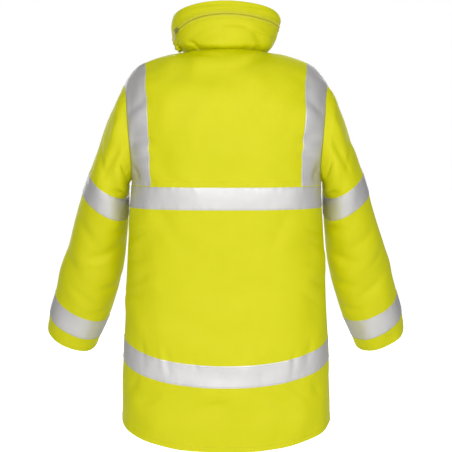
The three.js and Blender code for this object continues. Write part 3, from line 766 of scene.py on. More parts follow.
def grid_faces(rows: int, columns: int, closed: bool = False) -> Grid:
    """The four-cornered faces of a grid of points."""
    index = np.arange(rows * columns).reshape(rows, columns)
    if closed:
        index = np.concatenate([index, index[:, :1]], axis=1)
    corners = (index[:-1, :-1], index[:-1, 1:], index[1:, 1:], index[1:, :-1])
    return np.stack(corners, axis=-1).reshape(-1, 4)


def strip_faces(first: Grid, second: Grid) -> Grid:
    """Faces between two lines of point numbers."""
    return np.stack([first[:-1], first[1:], second[1:], second[:-1]], axis=-1)


def shell(skin: Skin, inside: Grid | float, outside: Grid | float) -> MeshData:
    """A closed wall between two distances from a skin.

    Args:
        skin: The surface that both faces of the wall follow.
        inside: How far out the inner face lies, one number or one for each point.
        outside: How far out the outer face lies.

    Returns:
        The wall's mesh, with its faces turned outward.
    """
    rows, columns = skin.points.shape[:2]
    outer = skin.moved(np.broadcast_to(outside, (rows, columns)))
    inner = skin.moved(np.broadcast_to(inside, (rows, columns)))
    points = np.concatenate([outer.reshape(-1, 3), inner.reshape(-1, 3)])
    top = np.arange(rows * columns).reshape(rows, columns)
    low = top + rows * columns
    if skin.closed:
        top = np.concatenate([top, top[:, :1]], axis=1)
        low = np.concatenate([low, low[:, :1]], axis=1)
    outer_faces = grid_faces(rows, columns, skin.closed)
    faces = [outer_faces, outer_faces[:, ::-1] + rows * columns]
    faces += [strip_faces(low[0], top[0]), strip_faces(top[-1], low[-1])]
    if not skin.closed:
        faces += [strip_faces(top[:, 0], low[:, 0]), strip_faces(low[:, -1], top[:, -1])]
    mesh = MeshData(points, np.concatenate(faces))
    return mesh if volume(mesh) > 0 else MeshData(mesh.points, mesh.faces[:, ::-1])


def volume(mesh: MeshData) -> float:
    """The volume inside a closed mesh, negative where its faces are turned inward."""
    a, b, c, d = (mesh.points[mesh.faces[:, k]] for k in range(4))
    return float(np.sum(a * np.cross(b, c)) + np.sum(a * np.cross(c, d))) / 6


@dataclass
class SeamLine:
    """A line on a skin, with the way out at each of its points."""

    points: Grid
    normals: Grid

    def evenly(self, step: float) -> "SeamLine":
        """The same line with points at equal steps along it."""
        lengths = np.linalg.norm(np.diff(self.points, axis=0), axis=1)
        along = np.concatenate([[0], np.cumsum(lengths)])
        places = np.arange(step / 2, along[-1], step)
        points = np.stack([np.interp(places, along, self.points[:, k]) for k in range(3)], axis=1)
        normals = np.stack([np.interp(places, along, self.normals[:, k]) for k in range(3)], axis=1)
        return SeamLine(points, normals / np.linalg.norm(normals, axis=1, keepdims=True))


def row_line(skin: Skin, rows: Grid, place: float, lift: float, ends: tuple[int, int] = (0, 0)) -> SeamLine:
    """A line along a skin at a row place, raised a little, with some points left off its ends."""
    kept = slice(ends[0], len(skin.points[0]) - ends[1])
    normals = at_row(skin.normals, rows, place)[kept]
    points = at_row(skin.points, rows, place)[kept] + normals * lift
    if skin.closed:
        return SeamLine(np.concatenate([points, points[:1]]), np.concatenate([normals, normals[:1]]))
    return SeamLine(points, normals)


def column_line(skin: Skin, columns: Grid, place: float, lift: float, rows: slice = slice(None)) -> SeamLine:
    """A line along a skin at a column place, raised a little."""
    normals = at_column(skin.normals, columns, place)[rows]
    return SeamLine(at_column(skin.points, columns, place)[rows] + normals * lift, normals)


# Smaller creases of the body, seen in the photo on the back and kept alike on the hidden front
FINE_FOLDS = {
    Part.BACK: (
        Crease(54, -11, 4, 100, 8, -2.8),
        Crease(-76, -16, -18, 56, 10, -2.6),
        Crease(-44, -32, -25, 110, 13, -2.2),
        Crease(-58, -14, -24, 90, 9, 1.6),
        Crease(168, -64, -22, 90, 12, -1.6),
        Crease(-172, -70, 24, 90, 12, -1.6),
        Crease(200, -128, -40, 84, 10, -2.6),
        Crease(-202, -132, 42, 80, 10, -2.4),
        Crease(184, -206, 8, 74, 8, -2.6),
        Crease(184, -223, 8, 70, 7, 2.0),
        Crease(188, -245, 3, 66, 9, -2.6),
        Crease(-184, -200, -9, 74, 8, -2.3),
        Crease(-186, -219, -6, 70, 7, 1.8),
        Crease(-184, -240, -3, 66, 9, -2.5),
        Crease(206, -279, 66, 48, 7, -3.6),
        Crease(-205, -281, -64, 48, 7, -3.2),
        Crease(128, -398, 58, 180, 16, -1.8),
        Crease(-122, -404, -62, 170, 16, -1.7),
        Crease(204, -420, -26, 84, 8, -2.4),
        Crease(214, -446, -14, 70, 7, 1.6),
        Crease(206, -478, -22, 92, 9, -2.3),
        Crease(196, -520, -30, 96, 9, -2.0),
        Crease(216, -560, -10, 62, 8, -1.8),
        Crease(-206, -414, 20, 80, 8, -2.2),
        Crease(-214, -444, 28, 84, 8, -2.2),
        Crease(-204, -486, 16, 88, 9, -2.0),
        Crease(-214, -532, 26, 76, 8, -2.0),
        Crease(-198, -566, 34, 90, 9, -1.8),
        Crease(30, -520, 84, 190, 20, -1.2),
        Crease(-26, -680, 78, 44, 6, -2.2),
        Crease(132, -700, 84, 92, 7, -1.8),
        Crease(146, -702, 80, 92, 6, 1.2),
        Crease(-154, -704, -84, 92, 7, -1.8),
        Crease(189, -690, 82, 92, 7, -1.6),
        Crease(-189, -686, -78, 92, 7, -1.6),
        Crease(70, -712, 88, 90, 9, -1.0),
        Crease(-84, -716, -86, 90, 8, -1.0),
        Crease(24, -800, -8, 92, 11, -2.4),
        Crease(120, -778, -34, 96, 10, -1.9),
        Crease(176, -794, -22, 86, 9, -2.1),
        Crease(-96, -786, 26, 100, 10, -2.0),
        Crease(-168, -776, 36, 88, 9, -2.1),
        Crease(-206, -770, 62, 70, 8, -1.8),
        Crease(212, -764, -58, 70, 8, -1.8),
    ),
    Part.FRONT: (
        Crease(186, -128, -42, 84, 10, -2.4),
        Crease(-190, -124, 38, 84, 10, -2.5),
        Crease(182, -208, 10, 74, 8, -2.4),
        Crease(184, -228, 8, 70, 7, 1.8),
        Crease(-184, -204, -8, 74, 8, -2.4),
        Crease(-186, -226, -6, 70, 7, 1.8),
        Crease(186, -250, 2, 66, 9, -2.4),
        Crease(-184, -246, -4, 66, 9, -2.4),
        Crease(204, -281, 62, 48, 7, -3.2),
        Crease(-204, -279, -66, 48, 7, -3.4),
        Crease(84, -140, -62, 120, 14, -1.6),
        Crease(-80, -150, 58, 120, 14, -1.6),
        Crease(110, -400, 64, 150, 15, -1.7),
        Crease(-116, -392, -58, 160, 15, -1.7),
        Crease(200, -430, -24, 86, 8, -2.2),
        Crease(208, -500, -18, 90, 9, -2.1),
        Crease(212, -560, -28, 76, 8, -1.8),
        Crease(-202, -440, 22, 84, 8, -2.2),
        Crease(-206, -540, 28, 86, 9, -2.0),
        Crease(60, -560, 78, 130, 14, -1.3),
        Crease(-56, -580, -80, 130, 14, -1.3),
        Crease(120, -690, 84, 90, 7, -1.6),
        Crease(-126, -692, -82, 90, 7, -1.6),
        Crease(60, -776, -14, 90, 10, -1.9),
        Crease(-70, -790, 18, 90, 10, -1.9),
        Crease(180, -780, -36, 90, 9, -2.0),
        Crease(-186, -772, 34, 90, 9, -2.0),
    ),
}

# Smaller folds of each sleeve
FINE_SLEEVE_FOLDS = {
    Side.LEFT: (
        SleeveFold(0.7, 2, 6.0, 22, 0.9, -4.5),
        SleeveFold(0.5, 26, 5.0, 18, 0.7, 2.5),
        SleeveFold(0.2, -40, 1.2, 34, 0.25, -2.5),
        SleeveFold(2.0, 44, -0.8, 46, 0.22, -2.4),
        SleeveFold(2.5, -46, 0.7, 46, 0.22, -3.0),
        SleeveFold(2.9, -70, 0.2, 40, 0.16, -3.4),
        SleeveFold(4.4, -60, 0.5, 50, 0.18, -3.2),
        SleeveFold(4.9, 30, -0.6, 46, 0.2, -2.4),
        SleeveFold(5.4, -22, 0.7, 56, 0.17, -3.0),
        SleeveFold(5.7, -14, 0.7, 50, 0.14, 1.8),
        SleeveFold(6.1, 56, -0.4, 44, 0.18, -2.4),
        SleeveFold(6.5, -56, 0.4, 56, 0.17, -3.2),
        SleeveFold(7.1, 6, -0.6, 52, 0.17, -2.2),
        SleeveFold(7.6, -38, 0.5, 44, 0.15, -2.4),
        SleeveFold(5.0, 176, 0.5, 60, 0.2, -3.4),
        SleeveFold(5.8, 204, -0.4, 60, 0.18, -3.4),
        SleeveFold(6.5, 160, 0.3, 60, 0.2, -3.0),
        SleeveFold(3.4, 170, 0.4, 50, 0.2, -2.4),
        SleeveFold(9.4, 30, 1.8, 22, 0.2, -1.6),
        SleeveFold(9.4, -30, -1.6, 22, 0.2, -1.4),
    ),
    Side.RIGHT: (
        SleeveFold(0.9, 10, 5.2, 22, 0.9, -4.2),
        SleeveFold(0.6, 34, 5.0, 18, 0.7, 2.2),
        SleeveFold(0.3, -34, 1.0, 34, 0.25, -2.4),
        SleeveFold(1.8, 50, -0.7, 46, 0.22, -2.2),
        SleeveFold(2.6, -42, 0.8, 46, 0.22, -2.8),
        SleeveFold(2.9, -72, 0.3, 40, 0.16, -3.2),
        SleeveFold(4.3, -56, 0.4, 50, 0.18, -3.0),
        SleeveFold(5.1, 22, -0.5, 52, 0.2, -2.4),
        SleeveFold(5.5, -34, 0.6, 56, 0.17, -3.2),
        SleeveFold(5.9, 44, -0.6, 46, 0.16, -2.2),
        SleeveFold(6.3, -50, 0.5, 56, 0.17, -3.0),
        SleeveFold(6.8, 16, -0.5, 50, 0.17, -2.4),
        SleeveFold(7.4, -44, 0.4, 44, 0.15, -2.4),
        SleeveFold(5.2, 190, 0.4, 60, 0.2, -3.4),
        SleeveFold(6.0, 164, -0.5, 60, 0.18, -3.2),
        SleeveFold(6.7, 206, 0.4, 60, 0.2, -3.0),
        SleeveFold(3.6, 186, 0.4, 50, 0.2, -2.4),
        SleeveFold(9.5, 20, 1.6, 22, 0.2, -1.5),
        SleeveFold(9.4, -40, -1.7, 22, 0.2, -1.5),
    ),
}

# Creases of the collar, by the way round from the middle of the back and the height there
COLLAR_FOLDS = (
    Crease(-74, 36, 18, 96, 7, -3.2),
    Crease(-70, 46, 18, 84, 6, 1.6),
    Crease(-84, 16, 36, 72, 9, -4.2),
    Crease(-24, 53, 2, 92, 6, -2.2),
    Crease(-22, 44, 0, 90, 6, 1.4),
    Crease(84, 12, 42, 48, 8, -4.0),
    Crease(12, 9, 3, 130, 7, 2.2),
    Crease(44, 21, -4, 100, 6, -1.8),
    Crease(60, 42, -12, 90, 8, -1.6),
    Crease(150, 30, -30, 80, 9, -2.6),
    Crease(-150, 26, 28, 80, 9, -2.8),
    Crease(220, 30, 20, 90, 9, -2.4),
    Crease(-226, 36, -24, 90, 9, -2.4),
    Crease(275, 60, 70, 60, 9, -2.0),
    Crease(-270, 56, -66, 60, 9, -2.0),
    Crease(30, 101, 2, 150, 5, -1.8),
    Crease(-60, 100, -4, 120, 5, -1.6),
)
ROUND_STEP = 1.89


class Graph:
    """A short way to add and join shader nodes."""

    def __init__(self, tree: bpy.types.NodeTree) -> None:
        self.tree = tree

    def add(self, kind: str, **options: object) -> bpy.types.Node:
        """Adds a node and sets its options."""
        node = self.tree.nodes.new(kind)
        for name, value in options.items():
            setattr(node, name, value)
        return node

    def put(self, value: object, socket: bpy.types.NodeSocket) -> None:
        """Joins a socket to another, or sets its value."""
        if isinstance(value, bpy.types.NodeSocket):
            self.tree.links.new(value, socket)
        else:
            socket.default_value = value

    def math(
        self, operation: str, first: object, second: object = 0.0, third: object = 0.5
    ) -> bpy.types.NodeSocket:
        """The result of a calculation on one, two or three numbers."""
        node = self.add("ShaderNodeMath", operation=operation)
        for value, socket in zip((first, second, third), node.inputs):
            self.put(value, socket)
        return node.outputs[0]

    def scaled(self, value: object, low: float, high: float) -> bpy.types.NodeSocket:
        """A number from 0 to 1 put on another range."""
        node = self.add("ShaderNodeMapRange")
        self.put(value, node.inputs["Value"])
        node.inputs["To Min"].default_value = low
        node.inputs["To Max"].default_value = high
        return node.outputs["Result"]

    def blend(self, share: object, first: object, second: object) -> bpy.types.NodeSocket:
        """A colour between two others."""
        node = self.add("ShaderNodeMix", data_type="RGBA")
        self.put(share, node.inputs[0])
        self.put(first, node.inputs[6])
        self.put(second, node.inputs[7])
        return node.outputs[2]

    def noise(self, place: object, scale: float, detail: float, distortion: float = 0.0):
        """Noise from 0 to 1 at a place."""
        node = self.add("ShaderNodeTexNoise")
        self.put(place, node.inputs["Vector"])
        node.inputs["Scale"].default_value = scale
        node.inputs["Detail"].default_value = detail
        node.inputs["Distortion"].default_value = distortion
        return node.outputs["Fac"]

    def turned_away(self, normal: object, gain: float) -> bpy.types.NodeSocket:
        """How far the surface turns away from the eye, from 0 to 1, which the finishes use to paint shade."""
        weight = self.add("ShaderNodeLayerWeight")
        weight.inputs["Blend"].default_value = 0.5
        self.put(normal, weight.inputs["Normal"])
        return self.math("MINIMUM", self.math("MULTIPLY", weight.outputs["Facing"], gain), 1.0)

    def bump(self, height: object, depth: float, strength: float, below: object = None):
        """A normal from a height, in metres, over another normal."""
        node = self.add("ShaderNodeBump")
        self.put(height, node.inputs["Height"])
        node.inputs["Distance"].default_value = depth
        node.inputs["Strength"].default_value = strength
        if below is not None:
            self.put(below, node.inputs["Normal"])
        return node.outputs["Normal"]


class Effect:
    """A shader node group with one place in and one number out, made once and used by many."""

    def __init__(self, name: str, fill: Callable[[Graph, bpy.types.NodeSocket], object]) -> None:
        self.tree = bpy.data.node_groups.new(name, "ShaderNodeTree")
        self.tree.interface.new_socket(name="Place", in_out="INPUT", socket_type="NodeSocketVector")
        self.tree.interface.new_socket(name="Amount", in_out="OUTPUT", socket_type="NodeSocketFloat")
        graph = Graph(self.tree)
        entry = graph.add("NodeGroupInput")
        leaving = graph.add("NodeGroupOutput")
        graph.put(fill(graph, entry.outputs[0]), leaving.inputs[0])

    def at(self, graph: Graph, place: object) -> bpy.types.NodeSocket:
        """The effect's amount at a place in a material."""
        node = graph.add("ShaderNodeGroup", node_tree=self.tree)
        graph.put(place, node.inputs[0])
        return node.outputs[0]


def weave(pitch: float) -> Callable[[Graph, bpy.types.NodeSocket], object]:
    """Threads over and under each other on every side of the jacket, at some pitch in metres."""
    def fill(graph: Graph, place: bpy.types.NodeSocket) -> object:
        axes = graph.add("ShaderNodeSeparateXYZ")
        graph.put(place, axes.inputs[0])
        turn = 2 * math.pi / pitch
        x, y, z = (graph.math("MULTIPLY", axis, turn) for axis in axes.outputs)
        first = graph.math("SINE", graph.math("ADD", x, y))
        second = graph.math("SINE", graph.math("SUBTRACT", x, y))
        across = graph.math("ADD", first, second)
        pattern = graph.math("MULTIPLY", across, graph.math("SINE", z))
        return graph.math("MULTIPLY_ADD", pattern, 0.25, 0.5)
    return fill


def crumple(graph: Graph, place: bpy.types.NodeSocket) -> object:
    """Fine creases of handled coated cloth, as thin ridges between smooth patches."""
    wide = graph.noise(place, 22.0, 2.0, 0.8)
    fine = graph.noise(place, 70.0, 2.0, 0.5)
    ridge = graph.math("ABSOLUTE", graph.math("SUBTRACT", wide, 0.5))
    ridge_fine = graph.math("ABSOLUTE", graph.math("SUBTRACT", fine, 0.5))
    return graph.math("ADD", ridge, graph.math("MULTIPLY", ridge_fine, 0.35))


def mottle(graph: Graph, place: bpy.types.NodeSocket) -> object:
    """Slow unevenness of dye and handling."""
    slow = graph.noise(place, 5.0, 3.0)
    quick = graph.noise(place, 34.0, 2.0)
    mixed = graph.math("ADD", graph.math("MULTIPLY", slow, 0.7), graph.math("MULTIPLY", quick, 0.3))
    return graph.scaled(mixed, -0.5, 1.5)


def grain(graph: Graph, place: bpy.types.NodeSocket) -> object:
    """The sparkle of glass beads and the brush of metal."""
    beads = graph.noise(place, 1500.0, 1.0)
    rub = graph.noise(place, 160.0, 3.0)
    return graph.math("ADD", graph.math("MULTIPLY", beads, 0.6), graph.math("MULTIPLY", rub, 0.4))


def scuff(graph: Graph, place: bpy.types.NodeSocket) -> object:
    """Patches rubbed to a duller gloss, with soft edges."""
    patch = graph.noise(place, 48.0, 4.0, 0.4)
    node = graph.add("ShaderNodeMapRange")
    graph.put(patch, node.inputs["Value"])
    node.inputs["From Min"].default_value = 0.52
    node.inputs["From Max"].default_value = 0.72
    return node.outputs["Result"]


@dataclass
class Effects:
    """The shared effects."""

    weave: Effect = field(default_factory=lambda: Effect("cloth_weave", weave(0.0011)))
    ribs: Effect = field(default_factory=lambda: Effect("tape_weave", weave(0.0007)))
    crumple: Effect = field(default_factory=lambda: Effect("cloth_crumple", crumple))
    mottle: Effect = field(default_factory=lambda: Effect("slow_mottle", mottle))
    grain: Effect = field(default_factory=lambda: Effect("fine_grain", grain))
    scuff: Effect = field(default_factory=lambda: Effect("rubbed_patches", scuff))


Colour = tuple[float, float, float, float]


@dataclass(frozen=True)
class Finish:
    """What every finish has, and the start of its material."""

    name: str
    colour: Colour
    shade: Colour
    roughness: tuple[float, float]

    def begin(self) -> tuple[bpy.types.Material, Graph, bpy.types.Node, bpy.types.NodeSocket]:
        """A new material with its shader, and the object's own place as a vector."""
        material = bpy.data.materials.new(self.name)
        material.use_nodes = True
        material.diffuse_color = self.colour
        graph = Graph(material.node_tree)
        shader = material.node_tree.nodes["Principled BSDF"]
        place = graph.add("ShaderNodeTexCoord").outputs["Object"]
        return material, graph, shader, place


@dataclass(frozen=True)
class ClothFinish(Finish):
    """Coated woven polyester in a fluorescent colour, with a painted glow, and painted shade where it turns away from
    the eye.
    """

    # Painted light: a steady yellow glow that lifts the cloth's shaded parts, standing in for the fluorescent dye's
    # brightness
    glow: Colour = (0.62, 0.66, 0.0, 1.0)
    glow_strength: float = 0.08
    sheen: float = 0.0
    # Painted shade: the colour that the cloth darkens to as it turns away from the eye, and how fast
    edge: Colour = (0.62, 0.63, 0.0, 1.0)
    falloff: float = 1.8

    def build(self, effects: Effects) -> bpy.types.Material:
        """Makes the material."""
        material, graph, shader, place = self.begin()
        amount = effects.mottle.at(graph, place)
        threads = effects.weave.at(graph, place)
        toned = graph.blend(amount, self.colour, self.shade)
        between = graph.math("MULTIPLY", graph.math("SUBTRACT", 0.5, threads), 0.22)
        toned = graph.blend(between, toned, self.shade)
        rubbed = effects.scuff.at(graph, place)
        graph.put(graph.scaled(rubbed, *self.roughness), shader.inputs["Roughness"])
        creases = graph.bump(effects.crumple.at(graph, place), 0.0016, 0.5)
        # Painted shade: the colour darkens towards the edge colour where the bumped surface turns away from the eye
        turned = graph.turned_away(creases, self.falloff)
        graph.put(graph.blend(turned, toned, self.edge), shader.inputs["Base Color"])
        graph.put(graph.bump(threads, 0.00012, 0.35, creases), shader.inputs["Normal"])
        shader.inputs["Sheen Weight"].default_value = self.sheen
        shader.inputs["Sheen Roughness"].default_value = 0.45
        shader.inputs["Sheen Tint"].default_value = (1.0, 1.0, 0.55, 1.0)
        shader.inputs["Specular IOR Level"].default_value = 0.12
        # Painted light: the cloth glows a little whatever lights it
        shader.inputs["Emission Color"].default_value = self.glow
        shader.inputs["Emission Strength"].default_value = self.glow_strength
        return material


@dataclass(frozen=True)
class ReflectiveFinish(Finish):
    """Silver tape of fine glass beads over a metal-like layer, with painted shade where it turns away from the eye."""

    metallic: float = 0.35
    # Painted shade: the grey that the tape turns to as it turns away from the eye
    dull: Colour = (0.5, 0.49, 0.485, 1.0)
    falloff: float = 1.5

    def build(self, effects: Effects) -> bpy.types.Material:
        """Makes the material."""
        material, graph, shader, place = self.begin()
        amount = effects.mottle.at(graph, place)
        beads = effects.grain.at(graph, place)
        toned = graph.blend(amount, self.colour, self.shade)
        speck = graph.math("MULTIPLY", beads, 0.3)
        rubbed = effects.scuff.at(graph, place)
        graph.put(graph.scaled(rubbed, *self.roughness), shader.inputs["Roughness"])
        creases = graph.bump(effects.crumple.at(graph, place), 0.0012, 0.45)
        graph.put(graph.bump(beads, 0.00008, 0.4, creases), shader.inputs["Normal"])
        # Painted shade: the tape greys where the bumped surface turns away from the eye
        turned = graph.turned_away(creases, self.falloff)
        graph.put(graph.blend(turned, graph.blend(speck, toned, self.shade), self.dull), shader.inputs["Base Color"])
        shader.inputs["Metallic"].default_value = self.metallic
        return material


@dataclass(frozen=True)
class ZipFinish(Finish):
    """Woven zip tape, or the moulded teeth on it."""

    ribbed: bool = True

    def build(self, effects: Effects) -> bpy.types.Material:
        """Makes the material."""
        material, graph, shader, place = self.begin()
        amount = effects.mottle.at(graph, place)
        graph.put(graph.blend(amount, self.colour, self.shade), shader.inputs["Base Color"])
        rubbed = effects.scuff.at(graph, place)
        graph.put(graph.scaled(rubbed, *self.roughness), shader.inputs["Roughness"])
        effect = effects.ribs if self.ribbed else effects.grain
        height = effect.at(graph, place)
        depth = 0.0002 if self.ribbed else 0.00004
        graph.put(graph.bump(height, depth, 0.5), shader.inputs["Normal"])
        return material


@dataclass(frozen=True)
class MetalFinish(Finish):
    """Nickel-plated zinc, dulled by use."""

    def build(self, effects: Effects) -> bpy.types.Material:
        """Makes the material."""
        material, graph, shader, place = self.begin()
        rubbed = effects.scuff.at(graph, place)
        graph.put(graph.blend(rubbed, self.colour, self.shade), shader.inputs["Base Color"])
        graph.put(graph.scaled(rubbed, *self.roughness), shader.inputs["Roughness"])
        brushed = effects.grain.at(graph, place)
        graph.put(graph.bump(brushed, 0.00005, 0.4), shader.inputs["Normal"])
        shader.inputs["Metallic"].default_value = 1.0
        return material


@dataclass
class Finishes:
    """Every material of the jacket."""

    cloth: bpy.types.Material
    tape: bpy.types.Material
    zip_tape: bpy.types.Material
    teeth: bpy.types.Material
    metal: bpy.types.Material
    thread: bpy.types.Material
    tape_thread: bpy.types.Material

    @classmethod
    def made(cls) -> "Finishes":
        """Makes them all."""
        effects = Effects()
        yellow = (0.77, 0.735, 0.022, 1.0)
        yellow_shade = (0.71, 0.685, 0.014, 1.0)
        silver = (0.93, 0.925, 0.925, 1.0)
        silver_shade = (0.76, 0.75, 0.75, 1.0)
        return cls(
            cloth=ClothFinish("hi_vis_cloth", yellow, yellow_shade, (0.5, 0.62)).build(effects),
            tape=ReflectiveFinish("reflective_tape", silver, silver_shade, (0.42, 0.52)).build(effects),
            zip_tape=ZipFinish("zip_tape", (0.78, 0.76, 0.03, 1), (0.7, 0.68, 0.02, 1), (0.6, 0.7)).build(effects),
            teeth=ZipFinish(
                "zip_teeth", (0.62, 0.6, 0.02, 1), (0.5, 0.49, 0.015, 1), (0.32, 0.45), ribbed=False
            ).build(effects),
            metal=MetalFinish("zip_metal", (0.46, 0.44, 0.16, 1), (0.28, 0.27, 0.1, 1), (0.28, 0.5)).build(effects),
            thread=ZipFinish("yellow_thread", (0.66, 0.68, 0.02, 1), (0.56, 0.58, 0.01, 1), (0.42, 0.5)).build(effects),
            tape_thread=ZipFinish("grey_thread", (0.5, 0.5, 0.48, 1), (0.4, 0.4, 0.38, 1), (0.42, 0.5)).build(effects),
        )


@dataclass
class Maker:
    """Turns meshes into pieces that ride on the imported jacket.

    Attributes:
        finishes: The materials.
        lines: Lines of stitching still to be made, by the piece that they belong to.
    """

    finishes: Finishes
    lines: dict[str, list[SeamLine]] = field(default_factory=dict)

    def piece(
        self,
        name: str,
        mesh: MeshData,
        material: bpy.types.Material,
        slot: str,
        replaced: Sequence[str] = (),
        body: str = "jacket",
        smooth: bool = True,
    ) -> bpy.types.Object:
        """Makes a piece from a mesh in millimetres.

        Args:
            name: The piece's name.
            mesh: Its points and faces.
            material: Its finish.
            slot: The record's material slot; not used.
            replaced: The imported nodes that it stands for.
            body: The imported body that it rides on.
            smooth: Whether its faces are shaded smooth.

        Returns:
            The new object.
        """
        data = bpy.data.meshes.new(name)
        data.from_pydata((mesh.points * MM).tolist(), [], mesh.faces.tolist())
        data.polygons.foreach_set("use_smooth", [smooth] * len(data.polygons))
        if smooth:
            data.set_sharp_from_angle(angle=math.radians(50))
        data.materials.append(material)
        piece = bpy.data.objects.new(name, data)
        bpy.context.scene.collection.objects.link(piece)
        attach(piece, body)
        if replaced:
            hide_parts(*replaced)
        LOG.info("%s: %d faces", name, len(data.polygons))
        return piece

    def stitch(self, owner: str, *lines: SeamLine) -> None:
        """Keeps lines to be stitched later."""
        self.lines.setdefault(owner, []).extend(lines)


def area_of(skin: Skin) -> float:
    """A skin's area in square metres."""
    points = skin.points
    if skin.closed:
        points = np.concatenate([points, points[:, :1]], axis=1)
    across = points[:-1, 1:] - points[:-1, :-1]
    up = points[1:, :-1] - points[:-1, :-1]
    far = points[1:, 1:]
    second = np.cross(far - points[1:, :-1], far - points[:-1, 1:])
    corners = np.linalg.norm(np.cross(across, up), axis=2) + np.linalg.norm(second, axis=2)
    return float(corners.sum()) / 2 * MM * MM


def declare_cloth(piece: bpy.types.Object, skin: Skin) -> None:
    """Logs the size that a piece of cloth is cut to.

    Args:
        piece: The cloth.
        skin: Its outer face.
    """
    points = skin.points
    wide = np.concatenate([points, points[:, :1]], axis=1) if skin.closed else points
    width = np.linalg.norm(np.diff(wide, axis=1), axis=2).sum(axis=1).max() * MM
    length = np.linalg.norm(np.diff(points, axis=0), axis=2).sum(axis=0).max() * MM
    area = area_of(skin)
    if width < 0.01:
        width, area = 0.01, 0.01 * length
    LOG.info("%s is cut to %.3f by %.3f m, %.4f m2", piece.name, width, length, area)
    min(area, width * length)


def refined(places: Grid, extra: Sequence[float]) -> Grid:
    """Places with a few more put among them, close ones dropped."""
    merged = np.unique(np.round(np.concatenate([places, extra]), 5))
    kept = np.concatenate([[True], np.diff(merged) > 0.02])
    kept |= np.isin(merged, np.round(extra, 5)) | np.isclose(merged, np.round(merged))
    return merged[kept]


def stretch_lengths(points: Grid, axis: int) -> Grid:
    """The longest distance between each two neighbouring rows or columns of points."""
    return np.linalg.norm(np.diff(points, axis=axis), axis=2).max(axis=1 - axis)


def smooth_step(value: Grid, low: float, high: float) -> Grid:
    """From 0 below one number to 1 above another, on a smooth curve."""
    share = np.clip((value - low) / (high - low), 0, 1)
    return share * share * (3 - 2 * share)


def cut(skin: Skin, rows: Grid, columns: Grid, row_span: tuple[float, float], column_span: tuple[float, float]) -> Skin:
    """The part of a skin between two row places and two column places."""
    kept_rows = (rows >= row_span[0] - 1e-6) & (rows <= row_span[1] + 1e-6)
    kept_columns = (columns >= column_span[0] - 1e-6) & (columns <= column_span[1] + 1e-6)
    index = np.ix_(kept_rows, kept_columns)
    whole = skin.closed and bool(kept_columns.all())
    return Skin(skin.points[index], skin.normals[index], whole)


def tape_mesh(skin: Skin, along_rows: bool) -> MeshData:
    """A band of tape on a skin: thin at its long edges and a little fuller between them.

    Args:
        skin: The cloth under the tape.
        along_rows: Whether the tape's long edges are rows of the skin, and not columns.

    Returns:
        The tape's mesh.
    """
    across, up = skin.laid_out()
    away = up if along_rows else across
    far = away[-1:] if along_rows else away[:, -1:]
    edge = np.minimum(away, far - away)
    height = 0.3 + (TAPE_WALL - 0.35) * rounded_edge(edge, 4.0)
    return shell(skin, 0.0, height)


